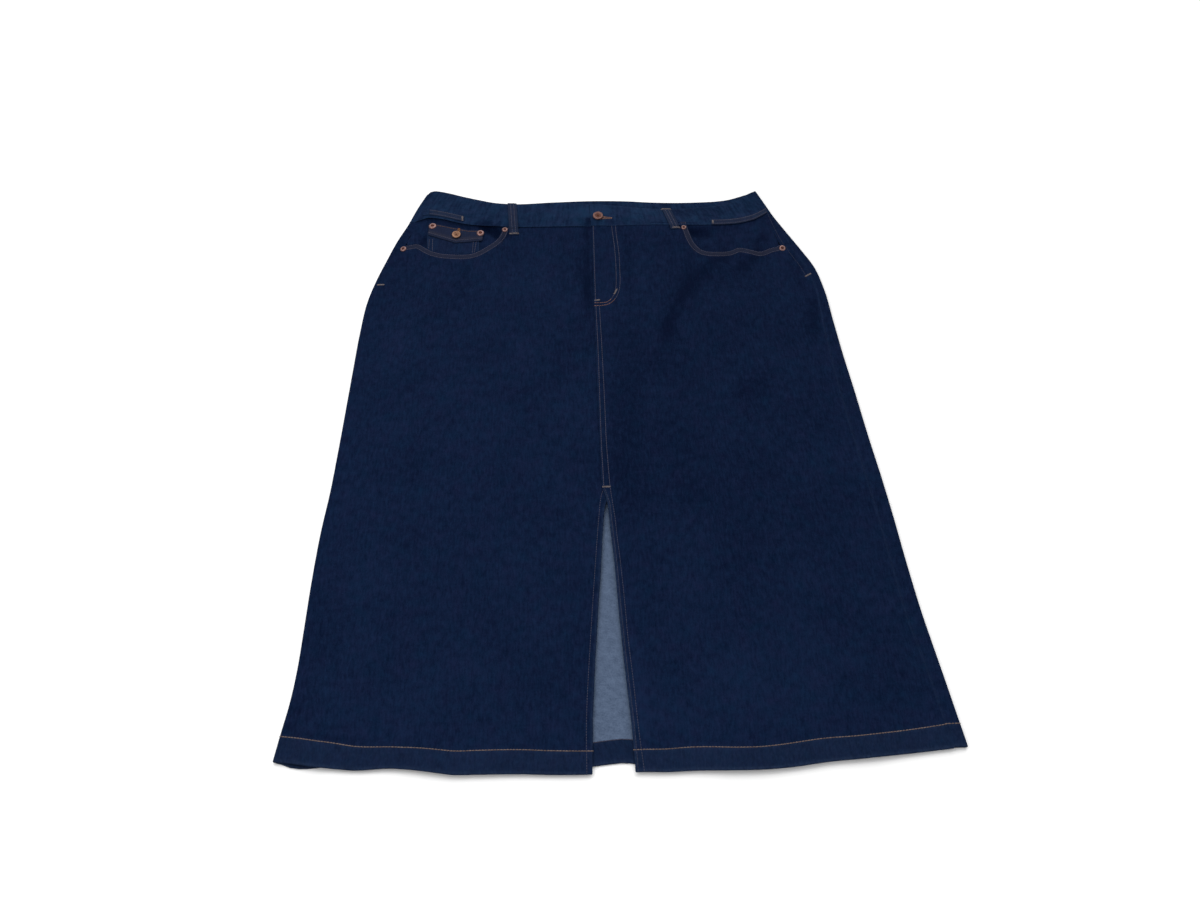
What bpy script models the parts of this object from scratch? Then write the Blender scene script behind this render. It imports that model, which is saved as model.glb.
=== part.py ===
# A long A-line denim skirt with a centre-front slit, laid flat on a table with its front up.
# X runs across the skirt, Y from the hem to the waist, Z up from the table top.
# Names of pieces use the wearer's sides: the wearer's right side is at -X.
import math
from collections import namedtuple

import bmesh
import bpy
import numpy as np
from mathutils import Vector

MM = 0.001
CLOTH = 1.2 * MM  # one ply of denim
DOUBLE = 2 * CLOTH  # a hem, a slit edge or the waistband, folded double
GAP = 0.3 * MM  # clearance of pieces that are sewn together
SEAM_GAP = 0.8 * MM  # clearance of the waistband, whose end face leans over its seam
SEAT = 0.4 * MM  # clearance under hardware on slightly curved cloth
FOLD = 2.6 * MM  # outer radius of the two side folds
UNDER_INSET = 4 * MM  # how far the right front wraps under the -X fold
HEM_DEPTH = 27 * MM
SLIT_HEM = 9 * MM
SLIT_TOP = 366 * MM
SLIT_HEM_TOP = 340 * MM  # the turned-in edges run into the centre-front seam above this
LAP_END = -7 * MM  # end of the waistband that laps over, at the centre front
UNDERLAP_END = 32 * MM
BAND_LAP_LIFT = 2.8 * MM
PANEL_LAP_LIFT = 1.6 * MM
BAND_PROUD = 0.6 * MM  # how far the waistband stands above the panels at its seam
BAND_LAP_FADE = 55 * MM  # the lapped waistband comes down over this width
PANEL_LAP_FADE = 20 * MM
LAP_STARTS_Y = (300 * MM, 345 * MM)  # the left front climbs onto the right one between these
FOLD_BLEND = 25 * MM  # rises and soft folds die out this close to a side fold

# Outline of the laid skirt: half-sections from below the hem to the top of the waistband.
# seam_inset is how far inside the +X fold the side seam shows on top.
Outline = namedtuple("Outline", "y x_min x_max seam_inset")
OUTLINE = [
    Outline(-12, -397, 414, 5),
    Outline(20, -392, 410, 5),
    Outline(90, -381, 399, 8),
    Outline(165, -374, 387, 11),
    Outline(250, -369, 377, 12),
    Outline(370, -355, 362, 13),
    Outline(510, -343, 345, 13),
    Outline(620, -334, 333, 14),
    Outline(680, -326, 326, 15),
    Outline(720, -316, 316, 15),
    Outline(752, -304, 301, 13),
    Outline(785, -292, 283, 8),
    Outline(818, -277, 267, 5),
    Outline(850, -263, 253, 4),
    Outline(880, -248, 240, 4),
]

# The hem edge of the front panels and of the back panel.
Hem = namedtuple("Hem", "x front back")
HEM = [
    Hem(-400, 21, 21),
    Hem(-330, 7, 12),
    Hem(-250, 4.5, 9),
    Hem(-160, -5, 6),
    Hem(-25, -8, 4.5),
    Hem(25, -5, 4.5),
    Hem(110, -8.5, 5),
    Hem(176, -9, 6),
    Hem(260, -1, 8),
    Hem(340, 4, 9),
    Hem(415, 12.5, 12.5),
]

# The waist: both seams, the waistband's top edges, and how high the front one lies.
Waist = namedtuple("Waist", "x front_seam back_seam front_top front_top_z back_top")
WAIST = [
    Waist(-280, 831, 831, 890, 5.2, 890),
    Waist(-248, 827, 827, 880, 5.2, 880),
    Waist(-225, 823.5, 823.5, 875.5, 6.4, 875.5),
    Waist(-190, 816.5, 818, 862, 8.0, 866),
    Waist(-152, 807, 813, 851.5, 8.4, 859),
    Waist(-122, 804, 810, 848.5, 8.4, 856),
    Waist(-64, 801, 808, 850, 8.4, 855),
    Waist(0, 800, 807, 844, 8.2, 854.5),
    Waist(50, 799.5, 806, 838, 7.0, 853),
    Waist(87, 798, 805, 835.5, 5.9, 850.5),
    Waist(126, 794.5, 804, 834, 5.6, 848.5),
    Waist(175, 796.5, 804, 837.5, 5.5, 849.5),
    Waist(220, 806.5, 806.5, 848, 5.3, 857),
    Waist(246, 815.5, 815.5, 861, 5.2, 861),
    Waist(275, 826, 826, 873, 5.2, 873),
]

# How far the upper layer rises above the folds, a quarter, half and three quarters across.
Rise = namedtuple("Rise", "y quarter middle three_quarters")
RISE = [
    Rise(-12, 1.6, 0.5, 2.0),
    Rise(60, 1.0, 0.6, 1.2),
    Rise(200, 0.8, 0.8, 0.8),
    Rise(400, 0.9, 1.0, 1.0),
    Rise(560, 1.4, 1.5, 2.2),
    Rise(680, 2.8, 2.8, 5.0),
    Rise(800, 4.4, 4.4, 9.2),
    Rise(860, 4.0, 4.0, 8.0),
]

# The largest soft folds: a ridge is a bell of this height, long at this angle from Y.
Swell = namedtuple("Swell", "x y length width angle height")
SWELLS = [
    Swell(-350, 8, 60, 18, 6, 2.4),
    Swell(-215, 0, 90, 26, 4, 1.4),
    Swell(148, -5, 85, 28, -4, 1.5),
    Swell(305, 0, 90, 24, -8, 1.4),
    Swell(110, 650, 60, 22, -42, 1.0),
    Swell(215, 700, 40, 20, -60, 0.9),
    Swell(-120, 640, 70, 30, 24, 0.8),
    Swell(-232, 792, 42, 32, 0, 3.2),
    Swell(238, 790, 40, 24, 0, 1.6),
]

# Centre-front edges of the two front panels: apart in the slit, lapped above it.
CentreFront = namedtuple("CentreFront", "y under over")
CENTRE_FRONT = [
    CentreFront(-12, -23, 23),
    CentreFront(60, -22.4, 18.8),
    CentreFront(170, -14.3, 13.4),
    CentreFront(281, -6.2, 7.9),
    CentreFront(316, -3.2, 7.2),
    CentreFront(351, -0.2, 4.6),
    CentreFront(366, 8, -2),
    CentreFront(500, 8, -3.2),
    CentreFront(640, 7, -4.5),
    CentreFront(666, 7, -6.8),
    CentreFront(737, 7, -5),
    CentreFront(830, 7, -3),
]

# Edges of the pocket openings, from the side to the inner rivet.
Scoop = namedtuple("Scoop", "x y")
SCOOP_RIGHT = [
    Scoop(-330, 776),
    Scoop(-281, 776),
    Scoop(-268, 777),
    Scoop(-258, 776.5),
    Scoop(-238, 762.5),
    Scoop(-217, 756),
    Scoop(-181, 755.5),
    Scoop(-153, 772.5),
    Scoop(-141, 785.5),
    Scoop(-136.8, 796),
]
SCOOP_LEFT = [
    Scoop(330, 761.5),
    Scoop(276, 761),
    Scoop(267, 757.5),
    Scoop(256, 754),
    Scoop(241, 747),
    Scoop(226, 750.5),
    Scoop(209.5, 753),
    Scoop(194, 746.5),
    Scoop(173, 745.5),
    Scoop(160, 747.5),
    Scoop(152, 753.5),
    Scoop(144.5, 766),
    Scoop(138.5, 788),
]

CUT_TOP = 860 * MM  # the cutters reach past the waist seam
CUT_REACH = 40 * MM

# Lower edges of the pocket bags, inwards from where they leave the side seams.
BagEdge = namedtuple("BagEdge", "inwards y")
BAG_BOTTOM = [
    BagEdge(0, 730),
    BagEdge(18, 695),
    BagEdge(60, 668),
    BagEdge(110, 672),
    BagEdge(170, 715),
]
BAG_INNER_X = 122 * MM
BAG_SINK = 1.8 * MM  # how far a pocket bag lies below the outside of the front
COIN_SINK = 1.6 * MM  # and how much deeper under the coin pocket
COIN_SINK_X = (-262 * MM, -152 * MM)
COIN_SINK_EDGE = 12 * MM
SIDE_LEVEL = 10 * MM  # width over which the facing drops away from the side seam
BAG_ROWS = 9
BAG_COLUMNS = 11

# The coin pocket and its pointed flap, on the facing of the right front pocket.
COIN_POCKET_X = (-246 * MM, -170 * MM)
COIN_POCKET_TUCK = 12 * MM
COIN_POCKET_TOP = 797 * MM
FlapEdge = namedtuple("FlapEdge", "x low high")
FLAP = [
    FlapEdge(-248, 794, 817),
    FlapEdge(-226, 785, 812),
    FlapEdge(-205, 776.5, 807),
    FlapEdge(-186, 777.5, 802),
    FlapEdge(-162, 779.5, 799.5),
]

FLY_ZIP_X = (-14 * MM, 18 * MM)
FLY_ZIP_Y = (680 * MM, 800 * MM)
ZIP_TAPE = 1.0 * MM

Loop = namedtuple("Loop", "name x_low x_high y_low")
LOOPS = [
    Loop("belt_loop_right", -118.6, -120.4, 787.5),
    Loop("belt_loop_left", 119, 111.6, 788),
]
LOOP_WIDTH = 12.5 * MM
LOOP_CLOTH = 1.5 * MM
LOOP_BOW = 1.6 * MM
LOOP_STEP = 4 * MM  # a loop climbs onto the waistband this far below its seam
LOOP_ROWS = 8

# Double-stitched tabs along the lower edge of the waistband, from each side seam.
Tab = namedtuple("Tab", "name x_inner x_outer above_seam_inner above_seam_outer")
TABS = [
    Tab("side_tab_right", -195, -262, 3, 12),
    Tab("side_tab_left", 174, 256, 1, 2),
]
TAB_WIDTH = 10.5 * MM

# Turned hardware: place on the cloth and which surface carries it.
Fitting = namedtuple("Fitting", "name kind x y carrier")
FITTINGS = [
    Fitting("waist_button", "button", 5, 820.5, "lap"),
    Fitting("coin_button", "small_button", -204, 792.5, "flap"),
    Fitting("rivet_right_side", "rivet", -281, 769.5, "right front"),
    Fitting("rivet_right_inner", "rivet", -131.2, 797.5, "right front"),
    Fitting("rivet_left_inner", "rivet", 131.2, 789, "left front"),
    Fitting("rivet_left_side", "rivet", 274.5, 754.5, "left front"),
    Fitting("flap_rivet_outer", "rivet", -240, 809.5, "flap"),
    Fitting("flap_rivet_inner", "rivet", -168, 793.6, "flap"),
]

# Outer profiles of the hardware as (radius, height), from the top centre down.
PROFILES = {
    "button": [(0, 3.0), (1.6, 3.0), (2.6, 2.4), (4.6, 2.7), (7.0, 3.4), (8.2, 2.9), (8.5, 2.0),
               (8.0, 1.3), (4.2, 1.0), (4.0, 0), (0, 0)],
    "small_button": [(0, 2.6), (1.4, 2.6), (2.2, 2.1), (3.9, 2.4), (5.9, 3.0), (6.8, 2.5),
                     (7.0, 1.8), (6.6, 1.2), (3.6, 0.9), (3.4, 0), (0, 0)],
    "rivet": [(0, 1.7), (1.3, 1.7), (1.9, 1.0), (2.6, 1.2), (3.9, 1.1), (4.6, 0.6), (4.75, 0), (0, 0)],
}
TURN_STEPS = 20
REACH = 4 * MM  # distance over which the slope under a piece of hardware is taken

FOLD_ANGLES = (150, 120, 90, 60, 30)
FRONT_COLUMNS = 11
BACK_COLUMNS = 10
NEAR_FOLD = (28 * MM, 20 * MM, 13 * MM, 6 * MM, 0)  # columns close to a side of a front panel
# Distances up a panel from its hem at which sections are taken.
SECTIONS = (0, 13, 27, 28.2, 50, 85, 125, 170, 215, 260, 305, 340, 359, 374, 390, 430, 480, 530,
            580, 625, 660, 690, 712, 730, 745, 757, 769, 780, 791, 801, 811)
OVER_SHARES = (0, 0.05, 0.1, 0.15, 0.2, 0.26, 0.34, 0.42, 0.5, 0.6, 0.7, 0.8, 0.88, 0.92, 0.96, 1)
UNDER_SHARES = (0, 0.04, 0.08, 0.12, 0.19, 0.26, 0.33, 0.41, 0.49, 0.57, 0.66, 0.75, 0.84, 0.92, 1)
SECTION_SHARES = [distance / SECTIONS[-1] for distance in SECTIONS]

DENIM = ("denim", (0.012, 0.024, 0.062), 0.85, 0.0)
INNER_DENIM = ("denim facing", (0.014, 0.026, 0.064), 0.9, 0.0)
TAPE = ("zip tape", (0.015, 0.02, 0.04), 0.8, 0.0)
COPPER = ("copper", (0.42, 0.2, 0.16), 0.35, 0.9)


def through(rows, key, value):
    # A smooth curve through two columns of a table, flat past its ends, in metres.
    keys = np.array([getattr(row, key) for row in rows]) * MM
    values = np.array([getattr(row, value) for row in rows]) * MM
    slopes = np.gradient(values, keys)

    def at(where):
        where = min(max(where, keys[0]), keys[-1])
        i = min(max(int(np.searchsorted(keys, where)) - 1, 0), len(keys) - 2)
        step = keys[i + 1] - keys[i]
        t = (where - keys[i]) / step
        rest = 1 - t
        return (
            rest * rest * (1 + 2 * t) * values[i]
            + t * t * (3 - 2 * t) * values[i + 1]
            + step * t * rest * (rest * slopes[i] - t * slopes[i + 1])
        )

    return at


def straight(rows, key, value):
    keys = [getattr(row, key) * MM for row in rows]
    values = [getattr(row, value) * MM for row in rows]
    return lambda where: float(np.interp(where, keys, values))


outline_min = through(OUTLINE, "y", "x_min")
outline_max = through(OUTLINE, "y", "x_max")
seam_inset = through(OUTLINE, "y", "seam_inset")
front_hem = through(HEM, "x", "front")
back_hem = through(HEM, "x", "back")
front_seam = through(WAIST, "x", "front_seam")
back_seam = through(WAIST, "x", "back_seam")
front_top = through(WAIST, "x", "front_top")
front_top_z = through(WAIST, "x", "front_top_z")
back_top = through(WAIST, "x", "back_top")
under_edge = straight(CENTRE_FRONT, "y", "under")
over_edge = straight(CENTRE_FRONT, "y", "over")
rises = [through(RISE, "y", column) for column in ("quarter", "middle", "three_quarters")]


def ease(share):
    share = min(max(share, 0.0), 1.0)
    return share * share * (3 - 2 * share)


def side_seam_x(y):
    return outline_max(y) - seam_inset(y)


def top_height(x, y):
    # Outside of the upper layer: the fold height, plus a broad rise and the soft folds.
    low, high = outline_min(y), outline_max(y)
    across = (2 * x - low - high) / (high - low)
    height = 0.0
    for centre, rise in zip((-0.5, 0.0, 0.5), rises):
        away = min(abs(across - centre) / 0.5, 1.0)
        height += rise(y) * math.cos(away * math.pi / 2) ** 2
    for swell in SWELLS:
        turn = math.radians(swell.angle)
        dx, dy = x - swell.x * MM, y - swell.y * MM
        along = (dy * math.cos(turn) + dx * math.sin(turn)) / (swell.length * MM)
        aside = (dx * math.cos(turn) - dy * math.sin(turn)) / (swell.width * MM)
        height += swell.height * MM * math.exp(-(along * along + aside * aside) / 2)
    from_fold = min(x - low, high - x) - FOLD
    return 2 * FOLD + height * ease(from_fold / FOLD_BLEND)


def lap_height(x, y):
    # The left front lies over the edge of the right front, and comes down beside it.
    past = (x - under_edge(max(y, SLIT_TOP)) - 2 * MM) / PANEL_LAP_FADE
    start, end = LAP_STARTS_Y
    above_slit = ease((y - start) / (end - start))
    return top_height(x, y) + PANEL_LAP_LIFT * above_slit * (1 - ease(past))


def facing_height(x, y):
    # The facing is level with the front at the side, and lies under it further in.
    if x < 0:
        from_side = x - outline_min(y) - FOLD
        low, high = COIN_SINK_X
        under_coin = ease((x - low) / COIN_SINK_EDGE) * ease((high - x) / COIN_SINK_EDGE)
    else:
        from_side = side_seam_x(y) - x
        under_coin = 0.0
    return top_height(x, y) - BAG_SINK * ease(from_side / SIDE_LEVEL) - COIN_SINK * under_coin


def band_height(x, y, lapped):
    # Outside of the front waistband, from the waist seam up to its top edge.
    low, high = front_seam(x), front_top(x)
    share = min(max((y - low) / (high - low), 0.0), 1.0)
    from_fold = min(x - outline_min(y), outline_max(y) - x) - FOLD
    at_seam = top_height(x, low) + BAND_PROUD * ease(from_fold / FOLD_BLEND)
    height = at_seam + (front_top_z(x) - at_seam) * share
    if lapped:
        height += BAND_LAP_LIFT * (1 - ease((x - UNDERLAP_END - 3 * MM) / BAND_LAP_FADE))
    return max(height, 2 * FOLD)


def between(start, end, share):
    return lambda y: start(y) + share * (end(y) - start(y))


def on(x_of, height_of):
    # A column of a panel's grid: gives x and z at a given y.
    return lambda y: (x_of(y), height_of(x_of(y), y))


def on_table(x_of):
    return lambda y: (x_of(y), 0.0)


def round_min(angle):
    # The -X fold: 0 degrees is its top and 180 its underside.
    turn = math.radians(angle)
    rim = FOLD * (1 - math.sin(turn))
    return lambda y: (outline_min(y) + rim, FOLD * (1 + math.cos(turn)))


def round_max(angle):
    turn = math.radians(angle)
    rim = FOLD * (1 - math.sin(turn))
    return lambda y: (outline_max(y) - rim, FOLD * (1 + math.cos(turn)))


def top_min(y):
    return outline_min(y) + FOLD


def top_max(y):
    return outline_max(y) - FOLD


def settle(column, low, high, share):
    # The point of a column at a share of the way from its lower to its upper edge.
    y = 0.4
    for _ in range(4):
        x = column(y)[0]
        y = low(x) + share * (high(x) - low(x))
    x, z = column(y)
    return Vector((x, y, z))


def clear_scene():
    for thing in list(bpy.data.objects):
        bpy.data.objects.remove(thing, do_unlink=True)


def collection(name):
    made = bpy.data.collections.new(name)
    bpy.context.scene.collection.children.link(made)
    return made


def material(name, colour, roughness, metallic):
    found = bpy.data.materials.get(name)
    if found:
        return found
    made = bpy.data.materials.new(name)
    made.use_nodes = True
    shader = made.node_tree.nodes["Principled BSDF"]
    shader.inputs["Base Color"].default_value = (*colour, 1)
    shader.inputs["Roughness"].default_value = roughness
    shader.inputs["Metallic"].default_value = metallic
    made.diffuse_color = (*colour, 1)
    return made


def finish(name, mesh, kind, home):
    made = bpy.data.objects.new(name, mesh)
    home.objects.link(made)
    mesh.materials.append(material(*kind))
    return made


def wall(name, home, points, kind=DENIM, cloth=CLOTH, plies=None):
    # A grid bent to rows of outside points, thickened inwards; plies is 1 or 2 at each point.
    rows, columns = len(points), len(points[0])
    mesh = bpy.data.meshes.new(name)
    net = bmesh.new()
    bmesh.ops.create_grid(net, x_segments=columns - 1, y_segments=rows - 1, size=1)
    places = []
    for vertex in net.verts:
        i = round((vertex.co.x + 1) / 2 * (columns - 1))
        j = round((vertex.co.y + 1) / 2 * (rows - 1))
        places.append((j, i))
        vertex.co = points[j][i]
    net.to_mesh(mesh)
    net.free()
    mesh.shade_smooth()
    made = finish(name, mesh, kind, home)
    solid = made.modifiers.new("Thickness", "SOLIDIFY")
    solid.thickness = cloth
    solid.offset = -1
    if plies:
        group = made.vertex_groups.new(name="plies")
        solid.thickness = 2 * cloth
        solid.vertex_group = group.name
        for index, (j, i) in enumerate(places):
            group.add([index], plies(j, i) / 2, "REPLACE")
    return made


def panel(name, home, columns, low, high, slit_columns=()):
    points = [[settle(column, low, high, share) for column in columns] for share in SECTION_SHARES]

    def plies(row, column):
        in_hem = SECTIONS[row] * MM <= HEM_DEPTH
        in_slit = column in slit_columns and points[row][column].y < SLIT_HEM_TOP
        return 2 if in_hem or in_slit else 1

    return wall(name, home, points, plies=plies)


def front_right(home):
    columns = [on_table(lambda y: outline_min(y) + UNDER_INSET)]
    columns += [round_min(angle) for angle in (180, *FOLD_ANGLES)]
    inner = [SLIT_HEM + 1 * MM, SLIT_HEM, 0]
    columns += [on(lambda y, out=out: top_min(y) + out, top_height) for out in NEAR_FOLD[::-1]]
    start = lambda y: top_min(y) + NEAR_FOLD[0]
    stop = lambda y: under_edge(y) - inner[0] - 20 * MM
    shares = [(k + 1) / FRONT_COLUMNS for k in range(FRONT_COLUMNS)]
    columns += [on(between(start, stop, share), top_height) for share in shares]
    columns += [on(lambda y, back=back: under_edge(y) - back, top_height) for back in inner]
    slit = (len(columns) - 2, len(columns) - 1)
    return panel("front_right", home, columns, front_hem, front_seam, slit)


def front_left(home):
    inner = [0, SLIT_HEM, SLIT_HEM + 1 * MM]
    columns = [on(lambda y, out=out: over_edge(y) + out, lap_height) for out in inner]
    start = lambda y: over_edge(y) + inner[-1] + 9 * MM
    stop = lambda y: side_seam_x(y) - GAP - NEAR_FOLD[0]
    shares = [k / FRONT_COLUMNS for k in range(FRONT_COLUMNS)]
    columns += [on(between(start, stop, share), lap_height) for share in shares]
    columns += [on(lambda y, back=back: side_seam_x(y) - GAP - back, lap_height) for back in NEAR_FOLD]
    return panel("front_left", home, columns, front_hem, front_seam, (0, 1))


def back_panel(home):
    columns = [on(between(side_seam_x, top_max, share), top_height) for share in (0, 0.5, 1)]
    columns += [round_max(180 - angle) for angle in FOLD_ANGLES]
    columns += [on_table(top_max)]
    edge = lambda y: outline_min(y) + UNDER_INSET + GAP
    columns += [on_table(between(top_max, edge, (k + 1) / BACK_COLUMNS)) for k in range(BACK_COLUMNS)]
    return panel("back_panel", home, columns, back_hem, back_seam)


def scoop_cutter(name, home, rows):
    # A flat outline above the edge of a pocket opening, as thick as the skirt and more.
    outline = [(row.x * MM, row.y * MM) for row in rows]
    outline += [(outline[-1][0], CUT_TOP), (outline[0][0], CUT_TOP)]
    curve = bpy.data.curves.new(name, "CURVE")
    curve.dimensions = "2D"
    curve.fill_mode = "BOTH"
    curve.extrude = CUT_REACH
    spline = curve.splines.new("POLY")
    spline.points.add(len(outline) - 1)
    for point, (x, y) in zip(spline.points, outline):
        point.co = (x, y, 0, 1)
    spline.use_cyclic_u = True
    drawn = bpy.data.objects.new(name, curve)
    home.objects.link(drawn)
    bpy.context.view_layer.update()
    mesh = bpy.data.meshes.new_from_object(drawn.evaluated_get(bpy.context.evaluated_depsgraph_get()))
    bpy.data.objects.remove(drawn)
    net = bmesh.new()
    net.from_mesh(mesh)
    bmesh.ops.remove_doubles(net, verts=net.verts, dist=0.001 * MM)
    bmesh.ops.recalc_face_normals(net, faces=net.faces)
    net.to_mesh(mesh)
    net.free()
    cutter = bpy.data.objects.new(name, mesh)
    home.objects.link(cutter)
    cutter.hide_render = True
    cutter.display_type = "WIRE"
    return cutter


def cut(piece, cutter):
    made = piece.modifiers.new(cutter.name, "BOOLEAN")
    made.operation = "DIFFERENCE"
    made.object = cutter


def pocket_bag(name, home, side, rows):
    # The facing that shows in the opening, and the bag that it runs down into.
    scoop_end = rows[0].y * MM + 2 * GAP
    bag_bottom = straight(BAG_BOTTOM, "inwards", "y")
    if side < 0:
        side_x = top_min
        columns = [on_table(lambda y: outline_min(y) + UNDER_INSET)]
        columns += [round_min(angle) for angle in (180, *FOLD_ANGLES)]
    else:
        side_x = lambda y: side_seam_x(y) - GAP
        columns = []
    level = [0, SIDE_LEVEL * 0.4, SIDE_LEVEL * 0.8, SIDE_LEVEL, SIDE_LEVEL + 2 * MM]
    columns += [on(lambda y, inset=inset: side_x(y) - side * inset, facing_height) for inset in level]
    lows = [scoop_end for _ in columns]
    start = lambda y: side_x(max(y, scoop_end)) - side * (level[-1] + 1 * MM)
    end = lambda y: side * BAG_INNER_X
    deep = [k / BAG_COLUMNS for k in range(BAG_COLUMNS + 1)]
    columns += [on(between(start, end, share), facing_height) for share in deep]
    lows += [bag_bottom(share * (start(0) - end(0)) * side) for share in deep]
    high = lambda x: front_seam(x) - GAP
    points = []
    for k in range(BAG_ROWS + 1):
        row = []
        for column, low in zip(columns, lows):
            row.append(settle(column, lambda x, low=low: low, high, k / BAG_ROWS))
        points.append(row)
    if side > 0:
        points = [row[::-1] for row in points]
    return wall(name, home, points, INNER_DENIM)


def patch(name, home, xs, low, high, height_of, kind=DENIM, cloth=CLOTH, rows=4):
    points = []
    for k in range(rows + 1):
        row = []
        for x in xs:
            y = low(x) + (high(x) - low(x)) * k / rows
            row.append(Vector((x, y, height_of(x, y))))
        points.append(row)
    return wall(name, home, points, kind, cloth)


def spread(start, end, count):
    return [start + (end - start) * k / count for k in range(count + 1)]


def coin_height(x, y):
    return facing_height(x, y) + GAP + CLOTH


def flap_height(x, y):
    return coin_height(x, y) + GAP + CLOTH


def coin_pieces(home):
    edge = straight(SCOOP_RIGHT, "x", "y")
    low = lambda x: edge(x) - COIN_POCKET_TUCK
    patch("coin_pocket", home, spread(*COIN_POCKET_X, 6), low, lambda x: COIN_POCKET_TOP, coin_height)
    xs = [row.x * MM for row in FLAP]
    flap_low, flap_high = straight(FLAP, "x", "low"), straight(FLAP, "x", "high")
    patch("coin_flap", home, xs, flap_low, flap_high, flap_height)


def fly_zip(home):
    height = lambda x, y: top_height(x, y) - CLOTH - GAP
    start, end = FLY_ZIP_Y
    patch("fly_zip", home, spread(*FLY_ZIP_X, 4), lambda x: start, lambda x: end, height, TAPE, ZIP_TAPE)


def waistband(home):
    # One folded strip: from the lap at the centre front round by the left side to the underlap.
    lapped = lambda x, y: band_height(x, y, True)
    plain = lambda x, y: band_height(x, y, False)
    lap_end = lambda y: LAP_END
    underlap_end = lambda y: UNDERLAP_END
    over = [on(between(lap_end, top_max, share), lapped) for share in OVER_SHARES]
    over += [round_max(180 - angle) for angle in FOLD_ANGLES]
    behind = [on_table(between(top_max, top_min, k / BACK_COLUMNS)) for k in range(BACK_COLUMNS + 1)]
    under = [round_min(angle) for angle in FOLD_ANGLES]
    under += [on(between(top_min, underlap_end, share), plain) for share in UNDER_SHARES]
    seam_over = lambda x: front_seam(x) + SEAM_GAP
    seam_behind = lambda x: back_seam(x) + SEAM_GAP
    points = []
    for share in (0, 0.34, 0.67, 1):
        row = [settle(column, seam_over, front_top, share) for column in over]
        row += [settle(column, seam_behind, back_top, share) for column in behind]
        row += [settle(column, seam_over, front_top, share) for column in under]
        points.append(row)
    return wall("waistband", home, points, cloth=DOUBLE)


def belt_loop(home, loop):
    panel_height = top_height if loop.x_low < 0 else lap_height
    rows = []
    for k in range(LOOP_ROWS + 1):
        share = k / LOOP_ROWS
        x = (loop.x_low + (loop.x_high - loop.x_low) * share) * MM
        top = front_top(x)
        y = loop.y_low * MM + (top - loop.y_low * MM) * share
        seam = front_seam(x)
        lift = GAP + LOOP_CLOTH + LOOP_BOW * math.sin(math.pi * share)
        row = []
        for across in (-0.5, 0, 0.5):
            at = x + across * LOOP_WIDTH
            on_band = y > seam - LOOP_STEP
            ground = band_height(at, y, loop.x_low > 0) if on_band else panel_height(at, y)
            row.append(Vector((at, y, ground + lift)))
        rows.append(row)
    return wall(loop.name, home, rows, cloth=LOOP_CLOTH)


def side_tab(home, tab):
    sign = 1 if tab.x_outer > tab.x_inner else -1
    start, end = sorted((tab.x_inner * MM, tab.x_outer * MM))

    def low(x):
        share = abs(x - tab.x_inner * MM) / abs(end - start)
        above = tab.above_seam_inner + (tab.above_seam_outer - tab.above_seam_inner) * share
        return front_seam(x) + above * MM

    height = lambda x, y: band_height(x, y, sign > 0) + GAP + CLOTH
    patch(tab.name, home, spread(start, end, 7), low, lambda x: low(x) + TAB_WIDTH, height, rows=2)


CARRIERS = {
    "right front": top_height,
    "left front": lap_height,
    "flap": flap_height,
    "lap": lambda x, y: band_height(x, y, True),
}


def fitting(home, row):
    # A turned piece of hardware, seated square on the cloth that carries it.
    profile = [(radius * MM, height * MM) for radius, height in PROFILES[row.kind]]
    mesh = bpy.data.meshes.new(row.name)
    net = bmesh.new()
    vertices = [net.verts.new((radius, 0, height)) for radius, height in profile]
    for first, second in zip(vertices, vertices[1:]):
        net.edges.new((first, second))
    net.to_mesh(mesh)
    net.free()
    made = finish(row.name, mesh, COPPER, home)
    turn = made.modifiers.new("Turn", "SCREW")
    turn.steps = turn.render_steps = TURN_STEPS
    turn.use_merge_vertices = True
    turn.merge_threshold = 0.005 * MM
    turn.use_smooth_shade = True
    carrier = CARRIERS[row.carrier]
    x, y = row.x * MM, row.y * MM
    slope_x = (carrier(x + REACH, y) - carrier(x - REACH, y)) / (2 * REACH)
    slope_y = (carrier(x, y + REACH) - carrier(x, y - REACH)) / (2 * REACH)
    normal = Vector((-slope_x, -slope_y, 1)).normalized()
    made.rotation_mode = "QUATERNION"
    made.rotation_quaternion = normal.to_track_quat("Z", "Y")
    made.location = Vector((x, y, carrier(x, y))) + normal * SEAT
    return made


def centre(home, cutters):
    # The origin is on the table, under the middle of the whole skirt.
    bpy.context.view_layer.update()
    graph = bpy.context.evaluated_depsgraph_get()
    corners = []
    for piece in home.objects:
        solid = piece.evaluated_get(graph)
        corners += [solid.matrix_world @ vertex.co for vertex in solid.data.vertices]
    middle = [(min(point[axis] for point in corners) + max(point[axis] for point in corners)) / 2
              for axis in (0, 1)]
    for piece in (*home.objects, *cutters.objects):
        piece.location -= Vector((*middle, 0))


def main():
    clear_scene()
    skirt = collection("denim_skirt")
    cutters = collection("cutters")
    right = front_right(skirt)
    left = front_left(skirt)
    back_panel(skirt)
    cut(right, scoop_cutter("scoop_right", cutters, SCOOP_RIGHT))
    cut(left, scoop_cutter("scoop_left", cutters, SCOOP_LEFT))
    pocket_bag("pocket_bag_right", skirt, -1, SCOOP_RIGHT)
    pocket_bag("pocket_bag_left", skirt, 1, SCOOP_LEFT)
    coin_pieces(skirt)
    fly_zip(skirt)
    waistband(skirt)
    for loop in LOOPS:
        belt_loop(skirt, loop)
    for tab in TABS:
        side_tab(skirt, tab)
    for row in FITTINGS:
        fitting(skirt, row)
    centre(skirt, cutters)


if __name__ == "__main__":
    main()
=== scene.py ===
# A long A-line denim skirt with a centre-front slit, laid flat with its front up.
# X runs across it, Y from the hem to the waist, Z up. Right and left are the wearer's: right is at -X.
import math
from collections import namedtuple

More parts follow.
